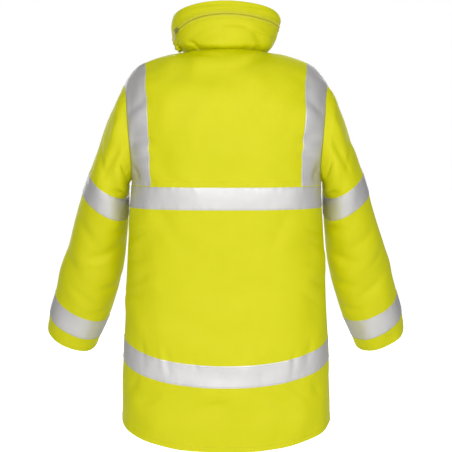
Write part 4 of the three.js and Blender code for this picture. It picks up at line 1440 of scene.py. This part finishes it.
@dataclass
class Panel:
    """The back or one front, cut in one piece from hem to neck.

    Attributes:
        name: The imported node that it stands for.
        part: Which way it faces.
        zip_side: The side of a front that ends at the zip, as the sign of X, or 0 for the back.
        seed: Makes its small unevenness its own.
        step: The longest step between two points, in millimetres.
        hem_fold: The width of the turned hem.
        fold_depth: How strongly the smaller creases stand.
        unevenness: The height of the slow unevenness of free cloth.
        gather: The height of the gathers along stitching.
    """

    name: str
    part: Part
    zip_side: int
    seed: int
    step: float = 5.0
    hem_fold: float = 13.0
    fold_depth: float = 1.5
    unevenness: float = 1.5
    gather: float = 0.6
    rows: Grid = field(init=False)
    columns: Grid = field(init=False)
    surface: Skin = field(init=False)

    def __post_init__(self) -> None:
        body = BodyShape()
        whole_rows = np.arange(TOP_ROW + 1.0)
        first = 0 if self.zip_side else -SIDE_COLUMN
        whole_columns = np.arange(first, SIDE_COLUMN + 1.0)
        if self.zip_side < 0:
            whole_columns = -whole_columns[::-1]
        net = body.points(self.part, whole_rows, whole_columns, self.zip_side)
        rows = spaced(whole_rows, stretch_lengths(net, 0), self.step)
        columns = spaced(whole_columns, stretch_lengths(net, 1), self.step)
        edges = [0.15, 0.7, 0.85, 1.0, 4.06, 4.14, 5.86, 5.94, 13.06, 13.14, 14.86, 14.94, 15.1, 23.94]
        sides = np.array([8.12, 8.26, 12.8, 12.93])
        signed = sides if self.zip_side > 0 else -sides
        both = np.concatenate([sides, -sides]) if not self.zip_side else signed
        self.rows = refined(rows, edges)
        self.columns = refined(columns, both)
        skin = self.eased(body.skin(self.part, self.rows, self.columns, self.zip_side))
        self.surface = skin.raised(self.lift(skin))
        self.surface.normals[:, np.abs(self.columns) > SIDE_COLUMN - 1e-6] = skin.normals[
            :, np.abs(self.columns) > SIDE_COLUMN - 1e-6
        ]

    def eased(self, skin: Skin) -> Skin:
        """The skin without the ridge that would run down from each corner of the neck."""
        row, column = self.rows[:, None], np.abs(self.columns)[None, :]
        share = np.exp(-(((column - NECK_COLUMN) / 1.7) ** 2)) * smooth_step(TOP_ROW - row, 0.2, 1.4)
        share = (share * smooth_step(row, 14, 17))[..., None]
        points = skin.points
        for _ in range(30):
            mean = points.copy()
            mean[:, 1:-1] = (points[:, :-2] + points[:, 2:]) / 2
            points = points + (mean - points) * share * 0.5
        fresh = normals_of(points)
        fresh = np.where(np.sum(fresh * skin.normals, axis=2, keepdims=True) < 0, -fresh, fresh)
        normals = np.where(share > 0.02, fresh, skin.normals)
        return Skin(points, normals)

    def lift(self, skin: Skin) -> Grid:
        """How far the cloth stands out from its smooth shape."""
        across, up = skin.laid_out()
        row, column = self.rows[:, None], np.abs(self.columns)[None, :]
        free = smooth_step(SIDE_COLUMN - column, 0, 1.3) * smooth_step(TOP_ROW - row, 0, 1.2)
        if self.zip_side:
            free = free * smooth_step(column, 0, 0.9)
        x, z = skin.points[..., 0], skin.points[..., 2]
        lift = self.fold_depth * creased(FINE_FOLDS[self.part], x, z)
        lift = lift + undulation(across, up, self.seed, self.unevenness)
        taped = (row >= 4) & (row <= 6) | (row >= 13) & (row <= 15)
        lift = lift * free * np.where(taped, 0.8, 1.0)
        for number, place in enumerate((1.0, 4.0, 6.0, 13.0, 15.0)):
            away = up - at_row(up, self.rows, place)
            lift = lift + pucker(across, away, self.seed + number, self.gather, 11.0) * free
        from_hem = up - up[:1]
        lift = lift + 0.5 * (1 - smooth_step(from_hem, self.hem_fold, self.hem_fold + 2))
        lift = lift - 0.4 * np.exp(-(((from_hem - self.hem_fold) / 1.6) ** 2))
        sides = [across[:, -1:] - across] if self.zip_side > 0 else [across]
        if not self.zip_side:
            sides = [across, across[:, -1:] - across]
        for side in sides:
            lift = lift - 0.7 * np.exp(-((side / 3.0) ** 2))
        shoulder = np.where(column >= NECK_COLUMN, up[-1:] - up, 99.0)
        return lift - 0.6 * np.exp(-((shoulder / 3.0) ** 2))

    def build(self, maker: Maker) -> bpy.types.Object:
        """Makes the panel and keeps the line of its hem stitching."""
        mesh = shell(self.surface, -CLOTH, 0.0)
        piece = maker.piece(self.name, mesh, maker.finishes.cloth, "hi_vis_cloth", [self.name])
        declare_cloth(piece, self.surface)
        maker.stitch("cloth", row_line(self.surface, self.rows, 0.9, 0.1, (2, 2)))
        return piece


@dataclass
class BodyTape:
    """A band of reflective tape on a panel.

    Attributes:
        name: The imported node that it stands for.
        panel: The panel that it is sewn on.
        rows: Its first and last row place.
        columns: Its first and last column place.
        level: Whether it runs round the body, and not over the shoulder.
    """

    name: str
    panel: Panel
    rows: tuple[float, float]
    columns: tuple[float, float]
    level: bool

    def build(self, maker: Maker) -> bpy.types.Object:
        """Makes the tape and keeps the lines of stitching along its long edges."""
        panel = self.panel
        skin = cut(panel.surface, panel.rows, panel.columns, self.rows, self.columns)
        mesh = tape_mesh(skin, self.level)
        piece = maker.piece(self.name, mesh, maker.finishes.tape, "reflective_tape", [self.name])
        declare_cloth(piece, skin)
        if self.level:
            places = (self.rows[0] + 0.09, self.rows[1] - 0.09)
            lines = [row_line(panel.surface, panel.rows, place, 0.85, (1, 1)) for place in places]
        else:
            inner = min(self.columns, key=abs)
            inset = math.copysign(0.2, max(self.columns, key=abs))
            kept = (panel.rows > self.rows[0]) & (panel.rows < self.rows[1])
            lines = [column_line(panel.surface, panel.columns, inner + inset, 0.85, kept)]
        maker.stitch("tape", *lines)
        return piece


@dataclass
class Sleeve:
    """A set-in sleeve with its two bands of tape.

    Attributes:
        side: The wearer's side.
        seed: Makes its small unevenness its own.
        step: The longest step along the sleeve, in millimetres.
        around: The number of points round it.
        cuff_fold: The width of the turned cuff.
        fold_depth: How strongly the smaller folds stand.
        unevenness: The height of the slow unevenness of free cloth.
        gather: The height of the gathers along stitching.
        closeness: How much nearer to the body its inner side lies.
    """

    side: Side
    seed: int
    step: float = 5.0
    around: int = 108
    cuff_fold: float = 13.0
    fold_depth: float = 1.4
    unevenness: float = 1.3
    gather: float = 0.55
    closeness: float = 3.0
    rings: Grid = field(init=False)
    surface: Skin = field(init=False)

    def __post_init__(self) -> None:
        shape = SleeveShape(BodyShape())
        turns = np.arange(self.around) * 360 / self.around - 90
        whole = np.arange(-1.0, SLEEVE_END + 1)
        net = shape.points(self.side, whole, turns)
        rings = spaced(whole, stretch_lengths(net, 0), self.step)
        edges = [-0.94, 3.03, 3.07, 3.93, 3.97, 8.03, 8.07, 8.93, 8.97, 9.7, 9.75, 9.8, 9.96]
        self.rings = refined(rings, edges)
        skin = shape.skin(self.side, self.rings, turns)
        self.surface = skin.raised(self.lift(skin, turns))

    def lift(self, skin: Skin, turns: Grid) -> Grid:
        """How far the cloth stands out from its smooth shape."""
        across, up = skin.laid_out()
        ring = self.rings[:, None]
        round_by = (turns + 90)[None, :] / 360 * 12
        wrap = np.minimum(smooth_step(round_by, 0, 1), smooth_step(12 - round_by, 0, 1))
        free = smooth_step(ring, -1, -0.4)
        lift = self.fold_depth * sleeve_creased(FINE_SLEEVE_FOLDS[self.side], ring, turns[None, :])
        lift = (lift + undulation(across, up, self.seed, self.unevenness) * wrap) * free
        for number, place in enumerate((3.0, 4.0, 8.0, 9.0, 9.74)):
            away = up - at_row(up, self.rings, place)
            lift = lift + pucker(across, away, self.seed + number, self.gather, 11.0) * wrap
        head = up - up[:1]
        lift = lift + pucker(across, head - 8, self.seed + 9, 0.8, 12.0) * wrap * smooth_step(head, 0, 5)
        lift = lift - 0.7 * np.exp(-((head / 3.0) ** 2))
        inner = np.exp(-((np.minimum(round_by, 12 - round_by) / 1.5) ** 2))
        beside = smooth_step(ring, 0.6, 1.6) * (1 - smooth_step(ring, 3.6, 5.2))
        lift = lift + self.closeness * inner * beside
        from_cuff = up[-1:] - up
        lift = lift + 0.5 * (1 - smooth_step(from_cuff, self.cuff_fold, self.cuff_fold + 2))
        lift = lift - 0.4 * np.exp(-(((from_cuff - self.cuff_fold) / 1.6) ** 2))
        underarm = np.minimum(across, across[:, -1:] + 4.7 - across)
        return lift - 0.5 * np.exp(-((underarm / 3.0) ** 2)) * smooth_step(head, 0, 10)

    def build(self, maker: Maker) -> bpy.types.Object:
        """Makes the sleeve and its tapes, and keeps their lines of stitching."""
        name = f"sleeve_{self.side.word}"
        mesh = shell(self.surface, -CLOTH, 0.0)
        piece = maker.piece(name, mesh, maker.finishes.cloth, "hi_vis_cloth", [name])
        declare_cloth(piece, self.surface)
        maker.stitch("cloth", row_line(self.surface, self.rings, 9.76, 0.1))
        for band, (first, last) in (("upper", UPPER_TAPE_RINGS), ("cuff", CUFF_TAPE_RINGS)):
            self.build_tape(maker, f"sleeve_tape_{band}_{self.side.word}", first, last)
        return piece

    def build_tape(self, maker: Maker, name: str, first: float, last: float) -> None:
        """Makes one band round the sleeve."""
        everywhere = np.arange(self.around, dtype=float)
        skin = cut(self.surface, self.rings, everywhere, (first, last), (0, self.around))
        piece = maker.piece(
            name, tape_mesh(skin, True), maker.finishes.tape, "reflective_tape", [name]
        )
        declare_cloth(piece, skin)
        for place in (first + 0.045, last - 0.045):
            maker.stitch("tape", row_line(self.surface, self.rings, place, 0.85))


@dataclass
class Collar:
    """The tall collar: a stand that holds the rolled hood, a rim above it, and the zip between.

    Attributes:
        step: The longest step up the collar, in millimetres.
        around: The number of points round it.
        seed: Makes its small unevenness its own.
    """

    step: float = 3.6
    around: int = 181
    seed: int = 71
    rings: Grid = field(init=False)
    turns: Grid = field(init=False)
    surface: Skin = field(init=False)

    def __post_init__(self) -> None:
        shape = CollarShape()
        self.turns = np.linspace(shape.FIRST_TURN, 360 - shape.FIRST_TURN, self.around)
        whole = np.arange(COLLAR_TOP + 1.0)
        net = shape.points(whole, self.turns)
        rings = spaced(whole, stretch_lengths(net, 0), self.step)
        self.rings = refined(rings, [0.2, 3.9, 4.1, 4.3, 4.55, 4.7, 5.3, 5.45, 5.7, 5.9, 6.1, 7.8, 7.92])
        skin = shape.skin(self.rings, self.turns)
        self.surface = skin.raised(self.lift(skin, shape))

    def lift(self, skin: Skin, shape: CollarShape) -> Grid:
        """How far the cloth stands out from its smooth shape."""
        ring = self.rings[:, None]
        across = (180 - self.turns)[None, :] * ROUND_STEP
        up = shape.read("z_back", self.rings)
        ends = smooth_step(np.abs(across), 330, 300)
        zipped = 1 - 0.75 * np.exp(-(((ring - ZIP_RING) / 1.1) ** 2))
        lift = 1.4 * creased(COLLAR_FOLDS, across, up) * zipped
        lift = lift + undulation(across + 0 * up, up + 0 * across, self.seed, 0.7) * zipped
        lift = lift + pucker(across, up, self.seed, 1.0, 9.0)
        lift = lift + pucker(across, up - shape.read("z_back", np.array([ZIP_RING])), self.seed + 1, 0.35, 12.0)
        seam = 0.9 * np.exp(-((up / 3.2) ** 2))
        piping = 1.1 * np.exp(-(((ring - 5.75) / 0.45) ** 2)) * smooth_step(360 - np.abs(across) * 2, 0, 30)
        return (lift + piping) * ends - seam

    def build(self, maker: Maker) -> None:
        """Makes the stand and the rim."""
        stand = self.part_of(0, ZIP_RING - 0.12)
        stand.points[0] += (stand.points[0] - stand.points[1]) * 0.6
        depth = np.clip(stand.points[..., 1] / NECK_DEPTH[Part.BACK], 0, 1)
        wall = STAND_WALL[0] + (STAND_WALL[1] - STAND_WALL[0]) * depth
        piece = maker.piece(
            "collar_stand", self.rounded(stand, wall, False), maker.finishes.cloth, "hi_vis_cloth", ["collar_stand"]
        )
        rim = self.part_of(ZIP_RING + 0.12, COLLAR_TOP)
        wall = np.full(rim.points.shape[:2], float(RIM_WALL))
        piece = maker.piece(
            "collar_rim", self.rounded(rim, wall, True), maker.finishes.cloth, "hi_vis_cloth", ["collar_rim"]
        )
        for place in (3.72, 6.32):
            maker.stitch("cloth", row_line(self.surface, self.rings, place, 0.1, (44, 44)))

    def part_of(self, low: float, high: float) -> Skin:
        """The collar's skin between two ring places."""
        places = self.rings[(self.rings > low + 0.05) & (self.rings < high - 0.05)]
        places = np.concatenate([[low], places, [high]])
        points = np.stack([at_row(self.surface.points, self.rings, place) for place in places])
        normals = np.stack([at_row(self.surface.normals, self.rings, place) for place in places])
        return Skin(points, normals / np.linalg.norm(normals, axis=2, keepdims=True))

    def rounded(self, skin: Skin, wall: Grid, both: bool) -> MeshData:
        """A soft wall with its upper edge rounded over, or both edges."""
        up = skin.laid_out()[1]
        edge = np.minimum(up, up[-1:] - up) if both else up[-1:] - up
        half = wall / 2 * rounded_edge(edge, np.minimum(wall / 2, 2.6))
        half = np.maximum(half, 0.5)
        return shell(skin, -wall / 2 - half, -wall / 2 + half)


@dataclass(frozen=True)
class ToothedEdge:
    """A row of moulded teeth along a line.

    Attributes:
        pitch: The distance from one tooth to the next.
        size: A tooth's reach across the zip, its length along it and its height.
    """

    pitch: float = 2.8
    size: tuple[float, float, float] = (3.0, 1.5, 1.5)

    def mesh(self, line: SeamLine, across_from: Grid, start: float) -> MeshData:
        """The teeth as one mesh.

        Args:
            line: The middle of the zip.
            across_from: The direction from the middle to the teeth's own tape, at each point.
            start: How far along the line the first tooth is.
        """
        lengths = np.linalg.norm(np.diff(line.points, axis=0), axis=1)
        along = np.concatenate([[0], np.cumsum(lengths)])
        places = np.arange(start, along[-1] - self.pitch / 2, self.pitch)
        read = lambda values: np.stack([np.interp(places, along, values[:, k]) for k in range(3)], axis=1)
        centre, out, side = read(line.points), read(line.normals), read(across_from)
        run = np.cross(out, side)
        reach, length, height = self.size
        corners = []
        for low_high in (0.0, 1.0):
            narrow = 1.0 if low_high == 0 else 0.7
            for x, y in ((-0.35, -0.62), (0.65, -0.4), (0.65, 0.4), (-0.35, 0.62)):
                corners.append(
                    centre + side * (reach * x * narrow) + run * (length * y * narrow)
                    + out * (height * low_high)
                )
        points = np.stack(corners, axis=1).reshape(-1, 3)
        faces = np.array([
            [0, 3, 2, 1], [4, 5, 6, 7], [0, 1, 5, 4], [1, 2, 6, 5], [2, 3, 7, 6], [3, 0, 4, 7],
        ])
        starts = np.arange(len(places))[:, None, None] * 8
        return MeshData(points, (faces[None] + starts).reshape(-1, 4))


@dataclass
class HoodZip:
    """The zip round the back of the collar, which closes over the rolled hood.

    Attributes:
        collar: The collar that it is sewn to.
        teeth: Its rows of teeth.
        tape_height: How far its tape stands out from the collar.
    """

    collar: Collar
    teeth: ToothedEdge = ToothedEdge(2.6, (2.2, 1.3, 1.0))
    tape_height: float = 0.9

    def build(self, maker: Maker) -> None:
        """Makes the tape and both rows of teeth."""
        collar = self.collar
        kept = (collar.turns >= 89.0) & (collar.turns <= 271.0)
        low, high = ZIP_RINGS
        part = collar.part_of(low, high)
        skin = Skin(part.points[:, kept], part.normals[:, kept])
        across, up = skin.laid_out()
        middle = np.abs(up / up[-1:] - 0.5) * 2
        height = self.tape_height * (0.25 + 0.75 * smooth_step(middle, 0.25, 0.6))
        height = height + 0.8 * np.exp(-(((middle - 0.62) / 0.16) ** 2))
        height = height * (1 - 0.8 * smooth_step(middle, 0.9, 1.0))
        mesh = shell(skin, -0.6, height)
        piece = maker.piece("hood_zip", mesh, maker.finishes.zip_tape, "zip_tape", ["hood_zip"])
        declare_cloth(piece, skin)
        line = row_line(collar.surface, collar.rings, ZIP_RING, 0.3)
        line = SeamLine(line.points[kept], line.normals[kept])
        upward = at_row(collar.surface.points, collar.rings, ZIP_RING + 0.2)[kept] - line.points
        upward /= np.linalg.norm(upward, axis=1, keepdims=True)
        first = self.teeth.mesh(line, upward, 2.0)
        second = self.teeth.mesh(line, -upward, 2.0 + self.teeth.pitch / 2)
        maker.piece("hood_zip_teeth", first.joined(second), maker.finishes.teeth, "zip_tape", smooth=False)


@dataclass
class FrontZip:
    """The long zip down the front, in two halves.

    Attributes:
        panels: The fronts, by the wearer's side.
        collar: The collar, which it runs up.
        teeth: Its rows of teeth.
    """

    panels: dict[Side, Panel]
    collar: Collar
    teeth: ToothedEdge = ToothedEdge()

    def edge(self, side: Side) -> Grid:
        """The line that one half is sewn along, from the hem to the top."""
        panel = self.panels[side]
        own = 0 if side is Side.LEFT else -1
        lower = panel.surface.points[:, own]
        upper = self.collar.surface.points[self.collar.rings > 0.3, own]
        return np.concatenate([lower, upper])

    def build(self, maker: Maker) -> None:
        """Makes both halves with their teeth."""
        for side in Side:
            line = self.edge(side)
            places = np.array([HALF_GAP, 2.5, 5.0, ZIP_HALF - SEAM_GAP]) * side.value
            points = np.repeat(line[:, None], len(places), axis=1)
            points[..., 0] = places[None, :]
            normals = normals_of(points)
            normals = np.where(normals[..., 1:2] > 0, -normals, normals)
            skin = Skin(points, normals)
            name = f"front_zip_{side.word}"
            mesh = shell(skin, -CLOTH, -0.4)
            piece = maker.piece(name, mesh, maker.finishes.zip_tape, "zip_tape", [name])
            declare_cloth(piece, skin)
            middle = SeamLine(points[:, 0] * [0, 1, 1] + normals[:, 0] * -0.5, normals[:, 0])
            own = np.tile([float(side.value), 0.0, 0.0], (len(points), 1))
            start = 8.0 if side is Side.LEFT else 8.0 + self.teeth.pitch / 2
            teeth = self.teeth.mesh(middle, own, start)
            maker.piece(f"{name}_teeth", teeth, maker.finishes.teeth, "zip_tape", smooth=False)


@dataclass
class Stitching:
    """Every line of stitching in one kind of thread.

    Attributes:
        pitch: The distance from one stitch to the next.
        size: A stitch's length, width and height.
    """

    pitch: float = 3.6
    size: tuple[float, float, float] = (2.7, 0.62, 0.42)

    def mesh(self, lines: Sequence[SeamLine]) -> MeshData:
        """The stitches along some lines as one mesh."""
        meshes = [self.along(line.evenly(self.pitch)) for line in lines]
        whole = meshes[0]
        for mesh in meshes[1:]:
            whole = whole.joined(mesh)
        return whole

    def along(self, line: SeamLine) -> MeshData:
        """Stitches at each point of a line: low humps that taper to both ends."""
        run = np.gradient(line.points, axis=0)
        run /= np.linalg.norm(run, axis=1, keepdims=True)
        out = line.normals
        side = np.cross(out, run)
        length, width, height = self.size
        corners = []
        for along, scale in ((-0.5, 0.45), (-0.25, 1.0), (0.25, 1.0), (0.5, 0.45)):
            for x, z in ((-0.5, -0.3), (-0.3, 0.8), (0.3, 0.8), (0.5, -0.3)):
                corners.append(
                    line.points + run * (length * along) + side * (width * x * scale)
                    + out * (height * z * scale)
                )
        points = np.stack(corners, axis=1).reshape(-1, 3)
        faces = [[0, 1, 2, 3], [15, 14, 13, 12]]
        for ring in range(3):
            for k in range(4):
                after = (k + 1) % 4
                faces.append([ring * 4 + k, (ring + 1) * 4 + k, (ring + 1) * 4 + after, ring * 4 + after])
        starts = np.arange(len(line.points))[:, None, None] * 16
        return MeshData(points, (np.array(faces)[None] + starts).reshape(-1, 4))

    def build(self, maker: Maker) -> None:
        """Makes the thread on the cloth and the thread on the tape."""
        threads = {"cloth": (maker.finishes.thread, "hi_vis_cloth"), "tape": (maker.finishes.tape_thread, "reflective_tape")}
        for owner, (material, slot) in threads.items():
            maker.piece(f"{owner}_stitching", self.mesh(maker.lines[owner]), material, slot)


class Joint(Enum):
    """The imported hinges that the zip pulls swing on."""

    HOOD = "hood_pull_swing"
    FRONT = "front_pull_swing"


@dataclass
class ZipSlider:
    """A zip slider with its pull, both in the slider's own frame: it faces -Y, its axis along X.

    Attributes:
        name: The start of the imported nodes' names.
        joint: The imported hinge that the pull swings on.
        body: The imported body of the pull.
        size: The slider's width, height and wall.
        reach: How far the pull's axis stands out from the slider's face.
        pull: The pull's width, length and wall.
        lug: The lugs' width and height, and the gap between them.
    """

    name: str
    joint: Joint
    body: str
    size: tuple[float, float, float] = (9.0, 12.0, 3.0)
    reach: float = 3.1
    pull: tuple[float, float, float] = (7.0, 24.0, 1.4)
    lug: tuple[float, float, float] = (1.6, 5.0, 4.0)

    def place(self, joints: Sequence[dict]) -> Matrix:
        """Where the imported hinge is, with X along its axis, in metres."""
        hinge = next(joint for joint in joints if joint["name"] == self.joint.value)
        axis = Vector(hinge["axis"])
        turn = math.atan2(-axis.y, -axis.x)
        return Matrix.Translation(Vector(hinge["pos_m"])) @ Matrix.Rotation(turn, 4, "Z")

    def body_outline(self) -> list[tuple[float, float]]:
        """The slider's face: narrow below and round above."""
        width, height, _ = self.size
        half = width / 2
        outline = [(-half * 0.66, -height * 0.6), (half * 0.66, -height * 0.6), (half, height * 0.02)]
        for step in range(1, 8):
            turn = math.pi * step / 8
            outline.append((half * math.cos(turn), height * (0.1 + 0.3 * math.sin(turn))))
        return [*outline, (-half, height * 0.02)]

    def pull_outline(self) -> list[tuple[float, float]]:
        """The pull's face, hanging down from its axis."""
        width, length, _ = self.pull
        half, tongue = width / 2, 1.6
        outline = [(tongue, 0.6), (tongue, -4.2), (half * 0.8, -6.0), (half * 0.86, -length + half)]
        for step in range(1, 10):
            turn = math.pi * step / 10
            outline.append((half * 0.92 * math.cos(turn), -length + half - half * math.sin(turn)))
        outline += [(-half * 0.86, -length + half), (-half * 0.8, -6.0), (-tongue, -4.2), (-tongue, 0.6)]
        return outline

    def plate(self, outline: Sequence[tuple[float, float]], front: float, back: float) -> bmesh.types.BMesh:
        """A flat plate from its outline, between two depths."""
        shape = bmesh.new()
        near = [shape.verts.new((x, front, z)) for x, z in outline]
        face = shape.faces.new(near)
        made = bmesh.ops.extrude_face_region(shape, geom=[face])
        moved = [item for item in made["geom"] if isinstance(item, bmesh.types.BMVert)]
        bmesh.ops.translate(shape, verts=moved, vec=(0, back - front, 0))
        bmesh.ops.recalc_face_normals(shape, faces=shape.faces)
        return shape

    def finished(self, maker: Maker, name: str, shapes: Sequence[bmesh.types.BMesh], body: str, spot: Matrix) -> None:
        """Joins plates into one bevelled metal piece at the hinge's place."""
        whole = bmesh.new()
        for shape in shapes:
            part = bpy.data.meshes.new("part")
            shape.to_mesh(part)
            whole.from_mesh(part)
            shape.free()
            bpy.data.meshes.remove(part)
        edges = [edge for edge in whole.edges if edge.calc_face_angle(0) > 0.5]
        bmesh.ops.bevel(whole, geom=edges, offset=0.28, segments=2, affect="EDGES", profile=0.6)
        whole.transform(spot @ Matrix.Scale(MM, 4))
        mesh = bpy.data.meshes.new(name)
        whole.to_mesh(mesh)
        whole.free()
        mesh.polygons.foreach_set("use_smooth", [True] * len(mesh.polygons))
        mesh.materials.append(maker.finishes.metal)
        piece = bpy.data.objects.new(name, mesh)
        bpy.context.scene.collection.objects.link(piece)
        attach(piece, body)
        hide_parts(name)
        LOG.info("%s: %d faces", name, len(mesh.polygons))

    def build(self, maker: Maker, joints: Sequence[dict]) -> None:
        """Makes the slider with its lugs, and the pull."""
        spot = self.place(joints)
        wall = self.size[2]
        lug_width, lug_height, lug_gap = self.lug
        plates = [self.plate(self.body_outline(), self.reach, self.reach + wall * 0.55)]
        shrunk = [(x * 0.9, z * 0.94) for x, z in self.body_outline()]
        plates.append(self.plate(shrunk, self.reach + wall * 0.55, self.reach + wall))
        for side in Side:
            middle = side.value * (lug_gap + lug_width) / 2
            low, high = middle - lug_width / 2, middle + lug_width / 2
            outline = [(low, -lug_height / 2), (high, -lug_height / 2), (high, lug_height / 2), (low, lug_height / 2)]
            plates.append(self.plate(outline, -0.9, self.reach + 0.2))
        self.finished(maker, f"{self.name}_slider", plates, "jacket", spot)
        thickness = self.pull[2]
        tab = self.plate(self.pull_outline(), -thickness / 2, thickness / 2)
        inset = [(x * 0.58, z * 0.62 - 6.2) for x, z in self.pull_outline() if z < -4.0]
        raised = self.plate(inset, -thickness / 2 - 0.35, -thickness / 2 + 0.2)
        self.finished(maker, f"{self.name}_pull", [tab, raised], self.body, spot)


@dataclass(frozen=True)
class SoftBox:
    """A large soft light.

    Attributes:
        name: Its name.
        place: Where it stands, in metres.
        aim: What it points at.
        size: Its width and height in metres.
        power: Its power in watts.
    """

    name: str
    place: tuple[float, float, float]
    aim: tuple[float, float, float]
    size: tuple[float, float]
    power: float

    def build(self) -> None:
        """Makes the light."""
        light = bpy.data.lights.new(self.name, "AREA")
        light.shape = "RECTANGLE"
        light.size, light.size_y = self.size
        light.energy = self.power
        holder = bpy.data.objects.new(self.name, light)
        holder.location = self.place
        holder.rotation_euler = (Vector(self.aim) - Vector(self.place)).to_track_quat("-Z", "Y").to_euler()
        bpy.context.scene.collection.objects.link(holder)


@dataclass
class Studio:
    """The camera at the photo's angle, the pale floor and the soft light.

    Attributes:
        eye: The camera's place in metres.
        down: How far it looks down, in degrees.
        lens: Its focal length in millimetres, on a 36 mm sensor.
        floor_z: The floor's height.
        floor_size: The floor's width.
        ambient: The strength of the light from all round.
        floor_glow: How much whiter the camera sees the floor, as a floor lit for its own sake.
    """

    eye: tuple[float, float, float] = (0.0, 2.5, -0.18)
    down: float = 5.2
    lens: float = 84.74
    floor_z: float = -1.2
    floor_size: float = 30.0
    ambient: float = 0.34
    floor_glow: float = 0.75
    lights: tuple[SoftBox, ...] = (
        SoftBox("key", (0.4, 3.0, 0.55), (0, 0, -0.3), (2.0, 1.6), 36),
        SoftBox("fill", (-1.5, 2.4, 0.1), (0, 0, -0.5), (1.0, 1.6), 12),
        SoftBox("top", (0.0, 0.1, 2.2), (0, 0, -0.4), (1.8, 1.8), 9),
        SoftBox("front_key", (-0.5, -2.8, 0.6), (0, 0, -0.3), (2.0, 1.6), 36),
        SoftBox("front_fill", (1.5, -2.4, 0.1), (0, 0, -0.5), (1.0, 1.6), 12),
    )

    def build(self) -> None:
        """Makes the camera, the floor and the lights."""
        camera = bpy.data.cameras.new("camera")
        camera.lens = self.lens
        camera.sensor_width = 36
        camera.clip_end = 100
        holder = bpy.data.objects.new("camera", camera)
        holder.location = self.eye
        holder.rotation_euler = (math.radians(90 - self.down), 0, math.radians(180))
        bpy.context.scene.collection.objects.link(holder)
        bpy.context.scene.camera = holder
        bpy.context.scene.view_settings.view_transform = "Standard"
        self.build_floor()
        self.build_world()
        for light in self.lights:
            light.build()

    def build_floor(self) -> None:
        """Makes the pale floor."""
        half = self.floor_size / 2
        mesh = bpy.data.meshes.new("floor")
        corners = [(-half, -half, self.floor_z), (half, -half, self.floor_z)]
        corners += [(half, half, self.floor_z), (-half, half, self.floor_z)]
        mesh.from_pydata(corners, [], [(0, 1, 2, 3)])
        material = bpy.data.materials.new("pale_floor")
        material.use_nodes = True
        shader = material.node_tree.nodes["Principled BSDF"]
        shader.inputs["Base Color"].default_value = (0.93, 0.93, 0.93, 1)
        shader.inputs["Roughness"].default_value = 0.9
        shader.inputs["Emission Color"].default_value = (1, 1, 1, 1)
        graph = Graph(material.node_tree)
        seen = graph.add("ShaderNodeLightPath").outputs["Is Camera Ray"]
        graph.put(graph.math("MULTIPLY", seen, self.floor_glow), shader.inputs["Emission Strength"])
        mesh.materials.append(material)
        floor = bpy.data.objects.new("floor", mesh)
        bpy.context.scene.collection.objects.link(floor)

    def build_world(self) -> None:
        """Makes the light from all round, which the camera sees as white."""
        world = bpy.data.worlds.new("studio")
        bpy.context.scene.world = world
        world.use_nodes = True
        graph = Graph(world.node_tree)
        background = world.node_tree.nodes["Background"]
        seen = graph.add("ShaderNodeLightPath").outputs["Is Camera Ray"]
        background.inputs["Color"].default_value = (1, 1, 1, 1)
        strength = graph.math("MULTIPLY_ADD", seen, 1 - self.ambient, self.ambient)
        graph.put(strength, background.inputs["Strength"])


def build_panels(maker: Maker) -> dict[str, Panel]:
    """Makes the back and both fronts.

    Args:
        maker: What makes the pieces.

    Returns:
        The panels by name.
    """
    panels = [
        Panel("back_panel", Part.BACK, 0, seed=11),
        Panel("front_left", Part.FRONT, 1, seed=23),
        Panel("front_right", Part.FRONT, -1, seed=37),
    ]
    for panel in panels:
        panel.build(maker)
    return {panel.name: panel for panel in panels}


def build_tapes(maker: Maker, panels: dict[str, Panel]) -> None:
    """Makes the bands and braces on the body."""
    brace_rows = (CHEST_TAPE_ROWS[1] + 0.04, TOP_ROW)
    for band, rows in (("chest", CHEST_TAPE_ROWS), ("hem", HEM_TAPE_ROWS)):
        whole = (-SIDE_COLUMN, SIDE_COLUMN)
        BodyTape(f"{band}_tape_back", panels["back_panel"], rows, whole, True).build(maker)
        for side in Side:
            front = panels[f"front_{side.word}"]
            half = tuple(sorted((0, side.value * SIDE_COLUMN)))
            BodyTape(f"{band}_tape_front_{side.word}", front, rows, half, True).build(maker)
    for side in Side:
        columns = tuple(sorted((side.value * BRACE_COLUMN, side.value * SIDE_COLUMN)))
        back = panels["back_panel"]
        front = panels[f"front_{side.word}"]
        BodyTape(f"brace_tape_back_{side.word}", back, brace_rows, columns, False).build(maker)
        BodyTape(f"brace_tape_front_{side.word}", front, brace_rows, columns, False).build(maker)


def main() -> None:
    """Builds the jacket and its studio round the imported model."""
    logging.basicConfig(level=logging.INFO, format="%(name)s: %(message)s")
    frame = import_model()
    Studio().build()
    maker = Maker(Finishes.made())
    panels = build_panels(maker)
    build_tapes(maker, panels)
    for side, seed in ((Side.LEFT, 41), (Side.RIGHT, 53)):
        Sleeve(side, seed).build(maker)
    collar = Collar()
    collar.build(maker)
    HoodZip(collar).build(maker)
    FrontZip({side: panels[f"front_{side.word}"] for side in Side}, collar).build(maker)
    joints = frame["record"]["behaviour"]["joints"]
    ZipSlider("hood_zip", Joint.HOOD, "hood_pull").build(maker, joints)
    ZipSlider("front_zip", Joint.FRONT, "front_pull").build(maker, joints)
    Stitching().build(maker)


if __name__ == "__main__":
    main()
